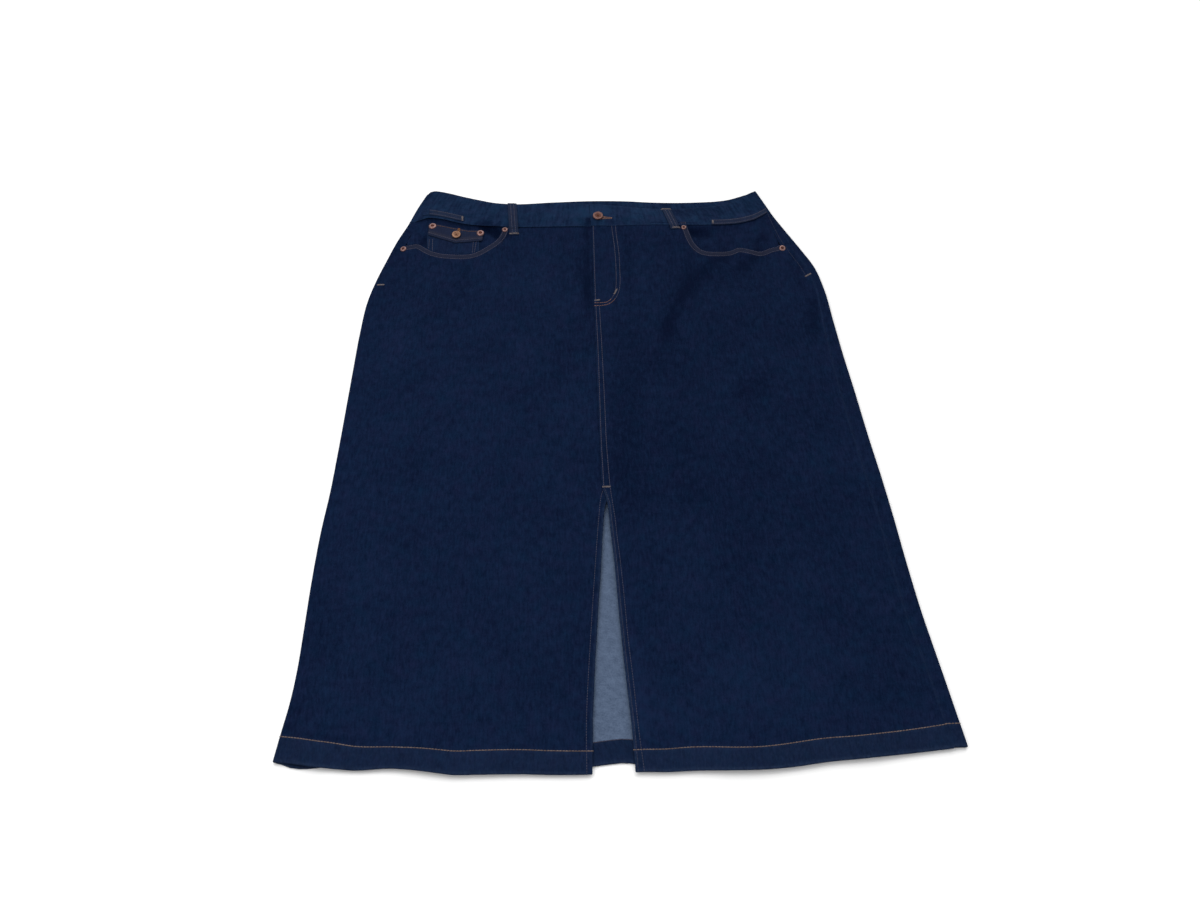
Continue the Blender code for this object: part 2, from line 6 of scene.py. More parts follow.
import bmesh
import bpy
import numpy as np
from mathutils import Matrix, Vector
from mathutils.bvhtree import BVHTree


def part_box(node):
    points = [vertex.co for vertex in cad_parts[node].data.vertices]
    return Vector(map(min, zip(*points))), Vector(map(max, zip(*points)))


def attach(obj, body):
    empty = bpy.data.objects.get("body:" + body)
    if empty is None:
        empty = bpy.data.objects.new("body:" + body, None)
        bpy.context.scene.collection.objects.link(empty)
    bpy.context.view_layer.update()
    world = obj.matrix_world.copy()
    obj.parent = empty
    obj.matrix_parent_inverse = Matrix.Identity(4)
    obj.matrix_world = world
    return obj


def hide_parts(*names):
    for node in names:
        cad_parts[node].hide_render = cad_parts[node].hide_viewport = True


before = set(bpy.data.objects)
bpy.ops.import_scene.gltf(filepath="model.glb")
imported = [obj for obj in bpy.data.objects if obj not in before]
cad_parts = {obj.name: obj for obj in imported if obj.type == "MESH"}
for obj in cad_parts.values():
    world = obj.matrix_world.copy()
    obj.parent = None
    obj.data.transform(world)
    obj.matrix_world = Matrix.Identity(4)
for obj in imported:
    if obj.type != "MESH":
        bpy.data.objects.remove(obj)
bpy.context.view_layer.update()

mm = 0.001

# ---- the cut of the skirt, in millimetres from the middle of the hem

cut = {
    "cloth": 1.2 * mm,
    "fold": 2.6 * mm,  # outer radius of the side folds
    "foldBlend": 25 * mm,  # rises and creases die out this close to a side fold
    "underInset": 4 * mm,  # the right front wraps this far under the -X fold
    "seamGap": 0.3 * mm,
    "slitTop": 366 * mm,
    "lapLift": 1.6 * mm,  # the left front lies this much over the right one
    "lapFade": 20 * mm,
    "lapStarts": (300 * mm, 345 * mm),
}

Outline = namedtuple("Outline", "y xMin xMax seamInset")
outline = [
    Outline(-12, -399.5, 415, 17),
    Outline(20, -393.5, 411, 17),
    Outline(45, -389, 407, 17.5),
    Outline(90, -380.5, 400, 17.5),
    Outline(140, -375, 392, 19),
    Outline(165, -373.5, 388, 20),
    Outline(250, -368.5, 377.5, 19.5),
    Outline(310, -363.5, 371.5, 20),
    Outline(370, -356, 364.5, 20.5),
    Outline(430, -350.5, 356.5, 20.5),
    Outline(510, -344, 347, 20),
    Outline(560, -340, 340.5, 18),
    Outline(620, -335, 334, 15.5),
    Outline(680, -327, 327.5, 12),
    Outline(720, -315.5, 318, 12.5),
    Outline(752, -304, 302.5, 12),
    Outline(785, -291.5, 285, 8),
    Outline(818, -276, 268, 5),
    Outline(850, -263, 254, 4),
    Outline(880, -248.5, 241, 4),
]

Hem = namedtuple("Hem", "x front back")
hemEdge = [
    Hem(-400, 20, 20),
    Hem(-384, 17.5, 16.5),
    Hem(-370, 15.5, 11.5),
    Hem(-357, 13, 10.5),
    Hem(-342, 10.5, 11),
    Hem(-328, 9, 12),
    Hem(-300, 6, 12),
    Hem(-256, 6.5, 10),
    Hem(-240, 5, 9),
    Hem(-212, 1, 8),
    Hem(-185, -3, 7),
    Hem(-157, -3.5, 6),
    Hem(-102, -4.5, 5),
    Hem(-75, -6, 4),
    Hem(-30, -7, 2.5),
    Hem(-4, -7, 5),
    Hem(14, -6.5, 6),
    Hem(32, -6, 3.5),
    Hem(62, -7, 4),
    Hem(90, -6.5, 5),
    Hem(145, -8, 6),
    Hem(172, -8, 6),
    Hem(200, -6.5, 7),
    Hem(256, -0.5, 8),
    Hem(284, 1, 9),
    Hem(341, 5.5, 10),
    Hem(369, 8, 11),
    Hem(398, 10.5, 12),
    Hem(415, 12, 12),
]

# How far the front hem's stitches lie above its edge.
HemRow = namedtuple("HemRow", "x up")
hemRow = [
    HemRow(-400, 29.4),
    HemRow(-326, 28.7),
    HemRow(-300, 26.8),
    HemRow(-255, 24),
    HemRow(-215, 25.6),
    HemRow(-150, 27.1),
    HemRow(-39, 26.2),
    HemRow(36, 24.9),
    HemRow(90, 26.3),
    HemRow(170, 25.4),
    HemRow(217, 26.8),
    HemRow(290, 25.8),
    HemRow(360, 26.8),
    HemRow(410, 28.8),
]

Waist = namedtuple("Waist", "x frontSeam backSeam frontTop frontTopZ backTop")
waist = [
    Waist(-280, 820, 820, 889, 5.2, 889),
    Waist(-262, 822, 822, 887, 5.2, 887),
    Waist(-248, 825, 825, 883, 5.2, 883),
    Waist(-232, 822.5, 823, 879, 6.0, 879),
    Waist(-215, 817.5, 820, 873.5, 6.8, 874),
    Waist(-200, 812.5, 818, 867.5, 7.6, 870),
    Waist(-184, 808.5, 816, 862, 8.0, 866),
    Waist(-168, 806, 815, 857, 8.3, 861.5),
    Waist(-152, 804.5, 813, 852.5, 8.4, 857.5),
    Waist(-122, 802.5, 810, 848.5, 8.4, 853.5),
    Waist(-64, 801, 808, 849, 8.4, 855),
    Waist(0, 800, 807, 844, 8.2, 856),
    Waist(50, 799.5, 806, 838, 7.0, 854),
    Waist(87, 798, 805, 835.5, 5.9, 850.5),
    Waist(126, 795, 804, 834, 5.6, 848.5),
    Waist(160, 794.5, 804, 836, 5.5, 848.5),
    Waist(186, 796.5, 805, 839, 5.4, 849.5),
    Waist(204, 799.5, 806, 843, 5.4, 852),
    Waist(220, 804.5, 807, 850, 5.3, 857),
    Waist(234, 810, 811, 860, 5.2, 862),
    Waist(246, 817, 817, 866, 5.2, 866),
    Waist(275, 829, 829, 873, 5.2, 873),
]

Rise = namedtuple("Rise", "y quarter middle threeQuarters")
rises = [
    Rise(-12, 1.6, 0.5, 2.0),
    Rise(60, 1.0, 0.6, 1.2),
    Rise(200, 0.8, 0.8, 0.8),
    Rise(400, 0.9, 1.0, 1.0),
    Rise(560, 1.4, 1.5, 2.2),
    Rise(680, 2.8, 2.8, 5.0),
    Rise(800, 4.4, 4.4, 9.2),
    Rise(860, 4.0, 4.0, 8.0),
]

# Broad soft folds: bells of this height, long at this angle from Y.
Swell = namedtuple("Swell", "x y length width angle height")
swells = [
    Swell(-350, 8, 60, 18, 6, 2.4),
    Swell(-215, 0, 90, 26, 4, 1.4),
    Swell(148, -5, 85, 28, -4, 1.5),
    Swell(305, 0, 90, 24, -8, 1.4),
    Swell(110, 650, 60, 22, -42, 1.0),
    Swell(215, 700, 40, 20, -60, 0.9),
    Swell(-120, 640, 70, 30, 24, 0.8),
    Swell(-232, 792, 42, 32, 0, 3.2),
    Swell(238, 790, 40, 24, 0, 1.6),
]

CentreFront = namedtuple("CentreFront", "y under over")
centreFront = [
    CentreFront(-12, -26, 25.5),
    CentreFront(3, -25.7, 25.6),
    CentreFront(38, -24.2, 24.2),
    CentreFront(56, -23.8, 23.2),
    CentreFront(80, -22.2, 21.4),
    CentreFront(130, -18.7, 17.8),
    CentreFront(181, -14.3, 14.8),
    CentreFront(207, -12.2, 13.6),
    CentreFront(234, -9.4, 12.4),
    CentreFront(262, -7.2, 11),
    CentreFront(290, -5.2, 8.8),
    CentreFront(318, -2.6, 6.9),
    CentreFront(330, -1.4, 6.2),
    CentreFront(340, 0.8, 5.4),
    CentreFront(350, 5.4, 2.8),
    CentreFront(366, 8, -2),
    CentreFront(500, 8, -3.2),
    CentreFront(640, 7, -3.8),
    CentreFront(666, 7, -3.9),
    CentreFront(737, 7, -3.4),
    CentreFront(830, 7, -3.1),
]

# Edges of the pocket openings, from the side seam to the waist seam.
Scoop = namedtuple("Scoop", "x y")
scoopRight = [
    Scoop(-330, 776),
    Scoop(-281, 776),
    Scoop(-268, 777),
    Scoop(-258, 776.5),
    Scoop(-238, 762.5),
    Scoop(-217, 756),
    Scoop(-181, 755.5),
    Scoop(-153, 772.5),
    Scoop(-141, 785.5),
    Scoop(-136.8, 796),
    Scoop(-134, 808),
]
scoopLeft = [
    Scoop(330, 761.5),
    Scoop(276, 761),
    Scoop(267, 757.5),
    Scoop(256, 754),
    Scoop(241, 747),
    Scoop(226, 750.5),
    Scoop(209.5, 753),
    Scoop(194, 746.5),
    Scoop(173, 745.5),
    Scoop(160, 747.5),
    Scoop(152, 753.5),
    Scoop(144.5, 766),
    Scoop(138.5, 788),
    Scoop(136.5, 800),
]


def through(rows, key, value):
    # A smooth curve through two columns of a table, flat past its ends, in metres.
    keys = np.array([getattr(row, key) for row in rows]) * mm
    values = np.array([getattr(row, value) for row in rows]) * mm
    slopes = np.gradient(values, keys)

    def at(where):
        where = np.clip(where, keys[0], keys[-1])
        i = np.clip(np.searchsorted(keys, where) - 1, 0, len(keys) - 2)
        step = keys[i + 1] - keys[i]
        t = (where - keys[i]) / step
        rest = 1 - t
        ends = rest * rest * (1 + 2 * t) * values[i] + t * t * (3 - 2 * t) * values[i + 1]
        return ends + step * t * rest * (rest * slopes[i] - t * slopes[i + 1])

    return at


def straight(rows, key, value):
    keys = [getattr(row, key) * mm for row in rows]
    values = [getattr(row, value) * mm for row in rows]
    return lambda where: np.interp(where, keys, values)


outlineMin = through(outline, "y", "xMin")
outlineMax = through(outline, "y", "xMax")
seamInset = through(outline, "y", "seamInset")
frontHem = through(hemEdge, "x", "front")
backHem = through(hemEdge, "x", "back")
hemUp = through(hemRow, "x", "up")
frontSeam = through(waist, "x", "frontSeam")
backSeam = through(waist, "x", "backSeam")
frontTop = through(waist, "x", "frontTop")
frontTopZ = through(waist, "x", "frontTopZ")
backTop = through(waist, "x", "backTop")
underEdge = straight(centreFront, "y", "under")
overEdge = straight(centreFront, "y", "over")
riseAt = [through(rises, "y", column) for column in ("quarter", "middle", "threeQuarters")]


def ease(share):
    share = np.clip(share, 0.0, 1.0)
    return share * share * (3 - 2 * share)


def bell(away, width):
    return np.exp(-((away / width) ** 2))


def unit(vectors):
    return vectors / np.maximum(np.linalg.norm(vectors, axis=-1, keepdims=True), 1e-12)


def sideSeam(y):
    return outlineMax(y) - seamInset(y)


def hemPlace(x, y):
    # How far up a front's hem a place is, with the stitches at their usual depth.
    return (y - frontHem(x)) * rowsOf["hemUp"] / hemUp(x)


def foldDistance(x, y):
    return np.minimum(x - outlineMin(y), outlineMax(y) - x) - cut["fold"]


def smoothPath(points, step=2 * mm):
    # A rounded line through points in millimetres, sampled about every step, in metres.
    points = np.array(points, float) * mm
    points = np.vstack([2 * points[0] - points[1], points, 2 * points[-1] - points[-2]])
    line = []
    for before, start, end, after in zip(points, points[1:], points[2:], points[3:]):
        count = max(2, int(np.linalg.norm(end - start) / step))
        for k in range(count):
            t = k / count
            curve = 2 * start + (end - before) * t + (2 * before - 5 * start + 4 * end - after) * t * t
            line.append((curve + (3 * start - before - 3 * end + after) * t ** 3) / 2)
    return np.array(line + [points[-2]])


def lengthAlong(line):
    steps = np.linalg.norm(np.diff(line, axis=0), axis=1)
    return np.concatenate([[0], np.cumsum(steps)])


def resample(line, step):
    along = lengthAlong(line)
    count = max(2, int(round(along[-1] / step)) + 1)
    places = np.linspace(0, along[-1], count)
    return np.stack([np.interp(places, along, column) for column in line.T], -1)


def offset(line, distance):
    # The line moved to its left by a distance, seen along its own direction.
    direction = unit(np.gradient(line, axis=0))
    moved = line + np.stack([-direction[:, 1], direction[:, 0]], -1) * distance
    return resample(moved, 2 * mm)


def distanceTo(line, x, y):
    # How far each place is from a line, positive on its left, and how far along it that is.
    start, step = line[:-1], np.diff(line, axis=0)
    size = np.maximum((step ** 2).sum(1), 1e-16)
    fromX, fromY = x[..., None] - start[:, 0], y[..., None] - start[:, 1]
    t = np.clip((fromX * step[:, 0] + fromY * step[:, 1]) / size, 0, 1)
    awayX, awayY = fromX - t * step[:, 0], fromY - t * step[:, 1]
    away = awayX ** 2 + awayY ** 2
    nearest = away.argmin(-1)[..., None]
    pick = lambda values: np.take_along_axis(values, nearest, -1)[..., 0]
    side = np.sign(pick(step[:, 0] * fromY - step[:, 1] * fromX))
    along = lengthAlong(line)
    reached = along[:-1] + t * np.sqrt(size)
    return np.sqrt(pick(away)) * np.where(side == 0, 1, side), pick(reached)


def ripple(seed, pitch):
    # An even, wandering unevenness of about this pitch, between -1 and 1.
    chance = np.random.default_rng(seed)
    waves = 7
    turns = chance.uniform(0, 2 * math.pi, waves)
    starts = chance.uniform(0, 2 * math.pi, waves)
    sizes = pitch * chance.uniform(0.7, 1.5, waves)

    def at(x, y):
        total = 0
        for turn, start, size in zip(turns, starts, sizes):
            total = total + np.sin((x * math.cos(turn) + y * math.sin(turn)) * 2 * math.pi / size + start)
        return total / waves ** 0.5 / 1.5

    return at


# ---- creases and unevenness of the laid cloth

creases = {
    # name: points, width, height, all in millimetres; a negative height is a trough
    "hipDrag": ([(222, 727), (190, 720), (156, 714), (131, 678), (108, 649), (73, 610)], 11, 0.9),
    "hipDragLow": ([(205, 700), (170, 690), (148, 655), (122, 622)], 15, -0.7),
    "thigh": ([(300, 575), (262, 548), (225, 512), (190, 470)], 18, 0.6),
    "thighLow": ([(310, 545), (268, 512), (236, 478)], 20, -0.5),
    "seat": ([(176, 650), (160, 600), (128, 560), (90, 520)], 24, -0.5),
    "flyDrag": ([(-22, 745), (-38, 700), (-44, 650)], 13, 0.45),
    "flyDragLow": ([(-30, 770), (-58, 735), (-74, 690)], 16, -0.45),
    "rightHip": ([(-250, 742), (-214, 712), (-190, 670), (-186, 620)], 20, 0.5),
    "rightHipLow": ([(-290, 735), (-262, 700), (-246, 655)], 18, -0.45),
    "rightThigh": ([(-210, 560), (-150, 500), (-110, 430)], 30, 0.45),
    "lowerRight": ([(-330, 250), (-318, 170), (-322, 90)], 20, -0.5),
    "lowerRightUp": ([(-296, 300), (-286, 200), (-292, 90)], 22, 0.5),
    "lowerLeft": ([(292, 330), (318, 220), (330, 120)], 24, 0.5),
    "lowerLeftLow": ([(340, 300), (362, 200), (372, 110)], 18, -0.4),
    "slitLean": ([(48, 300), (58, 200), (70, 90)], 22, 0.4),
    "slitLeanRight": ([(-44, 280), (-58, 180), (-74, 80)], 22, 0.4),
}
creaseLines = [(smoothPath(points, 8 * mm), width * mm, height * mm) for points, width, height in creases.values()]
broad = ripple(3, 130 * mm)
middling = ripple(5, 46 * mm)
small = ripple(8, 17 * mm)
wander = ripple(11, 60 * mm)


def creaseHeight(x, y):
    x, y = np.broadcast_arrays(np.asarray(x, float), np.asarray(y, float))
    height = 0.25 * mm * broad(x, y) + 0.14 * mm * middling(x, y) + 0.05 * mm * small(x, y)
    for line, width, rise in creaseLines:
        away, along = distanceTo(line, x, y)
        taper = np.sin(np.clip(along / lengthAlong(line)[-1], 0, 1) * math.pi) ** 0.7
        height = height + rise * bell(away, width) * taper
    return height


def topHeight(x, y):
    # Outside of the upper layer, before the detail of its edges and seams.
    low, high = outlineMin(y), outlineMax(y)
    across = (2 * x - low - high) / (high - low)
    height = creaseHeight(x, y)
    for middle, rise in zip((-0.5, 0.0, 0.5), riseAt):
        away = np.minimum(abs(across - middle) / 0.5, 1.0)
        height = height + rise(y) * np.cos(away * math.pi / 2) ** 2
    for swell in swells:
        turn = math.radians(swell.angle)
        dx, dy = x - swell.x * mm, y - swell.y * mm
        along = (dy * math.cos(turn) + dx * math.sin(turn)) / (swell.length * mm)
        aside = (dx * math.cos(turn) - dy * math.sin(turn)) / (swell.width * mm)
        height = height + swell.height * mm * np.exp(-(along * along + aside * aside) / 2)
    return 2 * cut["fold"] + height * ease(foldDistance(x, y) / cut["foldBlend"])


def lapHeight(x, y):
    # The left front climbs onto the right one above the slit.
    past = (x - underEdge(np.maximum(y, cut["slitTop"])) - 2 * mm) / cut["lapFade"]
    start, end = cut["lapStarts"]
    return topHeight(x, y) + cut["lapLift"] * ease((y - start) / (end - start)) * (1 - ease(past))


# ---- stitched rows, as lines on the cloth

rowsOf = {
    "needleGap": 5.6 * mm,
    "pocketIn": 1.7 * mm,
    "pocketOuter": 8 * mm,
    "hemUp": 26.5 * mm,
    "slitEdgeIn": 1.9 * mm,
    "pocketEnds": (-283, 276),  # X of the side rivets, where the pocket rows end
    "underBand": 806 * mm,  # the pocket rows go under the band here
    "flyFoot": 667 * mm,  # the thread of the fly's foot, below this, is warmer
    "loopIn": 3.9 * mm,
    "tabIn": 1.7 * mm,
}
scoopRightLine = smoothPath([(row.x, row.y) for row in scoopRight])
scoopLeftLine = smoothPath([(row.x, row.y) for row in scoopLeft])
flyCurve = smoothPath([(31.4, 804), (32.2, 784), (34, 760), (34.9, 740), (34.8, 716), (34.4, 697), (32.4, 683),
                       (28.6, 672), (22.7, 663.2), (15.5, 657.6), (8, 655.6), (-2.4, 655.2)])
flyInner = smoothPath([(25.6, 804), (27, 783), (28.6, 761), (29.4, 737), (29.3, 714), (28.6, 694), (26.6, 681),
                       (23, 671.4), (18.4, 664.8), (14, 661.4), (8, 660.4), (-1.8, 660.2)])
flyEdgeRow = smoothPath([(-1.3, 806), (-1.5, 770), (-1.7, 720), (-1.9, 664)])
seamUnderRow = smoothPath([(-1.6, 654), (-0.8, 580), (-0.9, 497.5), (-0.9, 430), (0.2, 364)])
seamOverRow = smoothPath([(3.4, 654), (4.6, 580), (5.4, 497.5), (5.8, 430), (8.2, 364)])
slitUnderRow = smoothPath([(0.2, 364), (-4.4, 348), (-8, 318), (-10.8, 290), (-18.4, 207), (-27, 105), (-30, 60),
                           (-31, 30), (-31.3, -5)])
slitOverRow = smoothPath([(8.4, 364), (9.9, 347), (13.1, 318), (14.9, 290), (17.2, 262), (20.5, 207), (22.9, 155),
                          (26.6, 105), (29.6, 56), (31.8, 26), (33.3, 10), (34.6, -5)])
slitEdgeRow = np.linspace(362, -5, 190) * mm
slitEdgeRow = np.stack([overEdge(slitEdgeRow) + rowsOf["slitEdgeIn"], slitEdgeRow], -1)
sideRow = smoothPath([(259.5, 824), (265, 803), (273, 776), (281, 755), (288, 739), (296.5, 722), (302.5, 706)])


def dents(away, places, depth=0.26 * mm, width=1.3 * mm):
    return -depth * sum(bell(away - place, width) for place in places)


def puckered(along, pitch):
    return np.sin(along / pitch * 2 * math.pi)


def hemDetail(x, y):
    # A hem is drawn in along its stitches and ropes diagonally between them and its edge.
    up = hemPlace(x, y)
    drift = 5 * mm * wander(x, y * 0)
    rope = puckered(x + 0.7 * up + drift, 15 * mm) + 0.6 * puckered(x + 0.5 * up - 1.6 * drift, 8.3 * mm)
    inside = np.sin(np.clip(up / rowsOf["hemUp"], 0, 1) * math.pi)
    above = bell(np.maximum(up - rowsOf["hemUp"], 0), 9 * mm) * (up > rowsOf["hemUp"])
    puff = 0.35 * mm * inside + 0.16 * mm * rope * (inside + 0.6 * above)
    return puff + dents(up, (rowsOf["hemUp"],), 0.35 * mm, 1.3 * mm)


def seamDetail(x, y, rows, puff, pucker=0.12 * mm, pitch=7.5 * mm, reach=9 * mm):
    # Rows of stitches sink into the cloth, which swells between them and puckers beside them.
    height = 0
    between = 1
    for row in rows:
        away, along = distanceTo(row, x, y)
        ends = ease(along / (4 * mm)) * ease((lengthAlong(row)[-1] - along) / (4 * mm))
        height = height + dents(away, (0,)) * ends
        height = height + pucker * puckered(along + 3 * mm * wander(x, y), pitch) * bell(away, reach) * ends
        between = between * bell(away, rowsOf["needleGap"])
    return height + (puff * between if len(rows) > 1 else 0)


def rightFrontHeight(x, y):
    x, y = np.broadcast_arrays(np.asarray(x, float), np.asarray(y, float))
    height = topHeight(x, y) + hemDetail(x, y)
    height = height + seamDetail(x, y, pocketRowsRight, 0.5 * mm)
    height = height + seamDetail(x, y, [slitUnderRow], 0)
    gather = bell(frontSeam(x) - y, 16 * mm)
    return height + 0.16 * mm * gather * puckered(x + 4 * mm * wander(x, y), 12 * mm)


def leftFrontHeight(x, y):
    x, y = np.broadcast_arrays(np.asarray(x, float), np.asarray(y, float))
    height = lapHeight(x, y) + hemDetail(x, y)
    height = height + seamDetail(x, y, pocketRowsLeft, 0.5 * mm)
    height = height - 0.4 * mm * ease((y - 803 * mm) / (3 * mm))  # it goes under the band
    height = height + seamDetail(x, y, [flyCurve, flyInner], 0.3 * mm)
    height = height + seamDetail(x, y, [seamUnderRow, seamOverRow], 0.25 * mm, 0.16 * mm)
    height = height + seamDetail(x, y, [slitOverRow, slitEdgeRow], 0.15 * mm)
    ridge = sideSeam(y) - x
    height = height + 0.3 * mm * bell(ridge - 1.5 * mm, 3 * mm)
    gather = bell(frontSeam(x) - y, 16 * mm)
    return height + 0.16 * mm * gather * puckered(x + 4 * mm * wander(x, y), 12 * mm)


pocketRowsRight = [offset(scoopRightLine, -rowsOf["pocketIn"]), offset(scoopRightLine, -rowsOf["pocketOuter"])]
pocketRowsLeft = [offset(scoopLeftLine, rowsOf["pocketIn"]), offset(scoopLeftLine, rowsOf["pocketOuter"])]

# ---- pockets

pocket = {
    "sink": 1.8 * mm,  # the facing lies this much under the outside of the front
    "coinSink": 1.6 * mm,
    "coinSinkX": (-262 * mm, -152 * mm),
    "coinSinkEdge": 12 * mm,
    "sideLevel": 10 * mm,
    "bagInnerX": 122 * mm,
    "coinX": (-246 * mm, -170 * mm),
    "coinTuck": 12 * mm,
    "coinTop": 800 * mm,
    "lowest": 3 * mm,
    "underBand": 18 * mm,  # the facings rise to the waistband over this distance
}
# Where the facing gapes away from the front.
Gape = namedtuple("Gape", "x y halfLength halfWidth turn depth")
gapes = [
    Gape(-150, 798, 16, 7, -36, 6.5),
    Gape(-142, 788, 8, 8, 0, 4),
    Gape(-252, 785, 5, 11, 0, 5),
    Gape(-222, 812, 36, 8, -12, 2),
    Gape(150, 781, 14, 8, 0, 5),
    Gape(240, 764, 9, 8, 0, 2),
]


def gapeDepth(x, y):
    depth = 0
    for gape in gapes:
        turn = math.radians(gape.turn)
        dx, dy = x - gape.x * mm, y - gape.y * mm
        along = (dx * math.cos(turn) + dy * math.sin(turn)) / (gape.halfLength * mm)
        aside = (dy * math.cos(turn) - dx * math.sin(turn)) / (gape.halfWidth * mm)
        depth = depth + gape.depth * mm * np.exp(-along * along - aside * aside)
    return depth


def facingHeight(x, y):
    low, high = pocket["coinSinkX"]
    rightSide = x - outlineMin(y) - cut["fold"]
    fromSide = np.where(x < 0, rightSide, sideSeam(y) - x)
    underCoin = ease((x - low) / pocket["coinSinkEdge"]) * ease((high - x) / pocket["coinSinkEdge"])
    inward = ease(fromSide / pocket["sideLevel"])
    near = 1 - ease((frontSeam(x) - y) / pocket["underBand"])
    sunk = pocket["sink"] * (1 - np.where(x < 0, 0.6, 0.9) * near) * inward
    sunk = sunk + pocket["coinSink"] * underCoin * (x < 0) * (1 - 0.6 * near)
    return np.maximum(topHeight(x, y) - sunk - gapeDepth(x, y) * inward, pocket["lowest"])


def coinHeight(x, y):
    return topHeight(x, y) - pocket["sink"] - pocket["coinSink"] + 1.5 * mm


Flap = namedtuple("Flap", "x low high")
flapEdges = [Flap(-244.5, 793.6, 816), Flap(-226, 785.4, 810.4), Flap(-205, 777, 804), Flap(-186, 778.4, 799.4),
             Flap(-165.5, 780.4, 798.6)]
flapLow = straight(flapEdges, "x", "low")
flapHigh = straight(flapEdges, "x", "high")


def flapHeight(x, y):
    up = (y - flapLow(x)) / np.maximum(flapHigh(x) - flapLow(x), mm)
    return coinHeight(x, y) + 1.6 * mm + 0.5 * mm * np.sin(np.clip(up, 0, 1) * math.pi)


# ---- waistband

band = {
    "thick": 2.4 * mm,
    "edgeThick": 0.8 * mm,  # its lower edge, where it lies on the panels
    "proud": 1.3 * mm,
    "lapProud": 0.8 * mm,
    "overlap": 6 * mm,  # the panels run up under it
    "lapEnd": -4.6 * mm,
    "lapThick": 1.6 * mm,
    "underlapEnd": 32 * mm,
    "underlapDip": 1.2 * mm,  # the underlap sinks this much where the lap lies on it
    "lapLift": 1.8 * mm,
    "lapFade": 55 * mm,
    "cornerRound": 15 * mm,  # of its top corner at -X, and how much lower that leaves the fold
    "cornerDrop": 9 * mm,
}
# Where the lower edge of the band stands away from the cloth: x, half width, lift.
bandArches = [(-160, 26, 0.7), (-225, 22, 0.5)]


def bandHeight(x, y, lapped):
    x, y = np.broadcast_arrays(np.asarray(x, float), np.asarray(y, float))
    low, high = frontSeam(x), frontTop(x)
    share = np.clip((y - low) / (high - low), 0, 1)
    fromFold = ease(foldDistance(x, y) / cut["foldBlend"])
    if lapped:
        atSeam = lapHeight(x, low) + band["lapProud"] * fromFold
    else:
        atSeam = topHeight(x, low) + band["proud"] * fromFold
    height = atSeam + (frontTopZ(x) - atSeam) * share
    height = height + 0.45 * mm * np.sin(share * math.pi) * fromFold
    height = height + 0.16 * mm * fromFold * middling(x * 1.4, y) * np.sin(share * math.pi)
    for middle, halfWidth, lift in bandArches:
        height = height + lift * mm * bell(x - middle * mm, halfWidth * mm) * (1 - share) ** 1.5
    if lapped:
        past = (x - band["underlapEnd"] - 3 * mm) / band["lapFade"]
        height = height + band["lapLift"] * ease(share / 0.4) * (1 - ease(past))
    else:
        height = height - band["underlapDip"] * ease((x + 18 * mm) / (10 * mm)) * (1 - share)
    return np.maximum(height, 2 * cut["fold"])


def overBand(x, y):
    return bandHeight(x, y, True)


def underBand(x, y):
    return bandHeight(x, y, False)


# ---- grids of places

def ladder(length, lowSteps, middle, highSteps, closer=None):
    # Rungs along a length: close at both ends, even between, as (from low, from high, share).
    # closer = (share, pitch) sets the rungs above that share of the middle closer together.
    lowSteps, highSteps = np.array(lowSteps) * mm, np.array(highSteps) * mm
    step = middle * mm * 1
    middleLength = length - lowSteps[-1] - highSteps[-1]
    start, pitch = closer or (1, middle)
    count = max(2, int(round(middleLength * start / step)))
    shares = start * np.arange(1, count + 1) / count
    if closer:
        count = max(1, int(round(middleLength * (1 - start) / (pitch * mm * 1))))
        shares = np.concatenate([shares, start + (1 - start) * np.arange(1, count + 1) / count])
    shares = shares[:-1]
    count = len(shares) + 1
    fromLow = np.concatenate([lowSteps, np.full(count - 1, lowSteps[-1]), np.zeros(len(highSteps))])
    fromHigh = np.concatenate([np.zeros(len(lowSteps)), np.full(count - 1, highSteps[-1]), highSteps[::-1]])
    share = np.concatenate([np.zeros(len(lowSteps)), shares, np.ones(len(highSteps))])
    return fromLow, fromHigh, share


def between(start, end, rungs):
    # Columns from one line of x(y) to another, on the rungs of a ladder.
    columns = []
    for fromLow, fromHigh, share in zip(*rungs):
        columns.append(lambda y, a=fromLow, b=fromHigh, s=share: (start(y) + a) * (1 - s) + (end(y) - b) * s)
    return columns


def onSurface(lines, surface):
    return [(line, surface) for line in lines]


def onTable(lines):
    return [(line, lambda x, y: x * 0) for line in lines]


def roundFold(side, angles, proud=0.0):
    # A side fold: 0 degrees is its top and 180 its underside.
    columns = []
    for angle in angles:
        turn = math.radians(angle)
        rim = cut["fold"] * (1 - math.sin(turn)) - proud * math.sin(turn)
        z = cut["fold"] * (1 + math.cos(turn))
        line = (lambda y, rim=rim: outlineMin(y) + rim) if side < 0 else (lambda y, rim=rim: outlineMax(y) - rim)
        columns.append((line, lambda x, y, z=z: x * 0 + z))
    return columns


def topMin(y):
    return outlineMin(y) + cut["fold"]


def topMax(y):
    return outlineMax(y) - cut["fold"]


def settle(columns, rungs, lows, highs, stretch=None):
    # Places where columns meet rungs, which are measured from each column's lower and upper edge.
    # The lower ones are stretched by a function of x.
    fromLow, fromHigh, share = rungs
    grid = np.empty((len(share), len(columns), 3))
    for i, (line, surface) in enumerate(columns):
        low = lows[i] if isinstance(lows, list) else lows
        high = highs[i] if isinstance(highs, list) else highs
        bottom, top = np.full(len(share), -0.06), np.full(len(share), 0.96)
        for _ in range(24):
            y = (bottom + top) / 2
            x = line(y)
            up = fromLow * stretch(x) if stretch else fromLow
            above = y > (low(x) + up) * (1 - share) + (high(x) - fromHigh) * share
            top, bottom = np.where(above, y, top), np.where(above, bottom, y)
        grid[:, i, 0], grid[:, i, 1], grid[:, i, 2] = x, y, surface(x, y)
    return grid


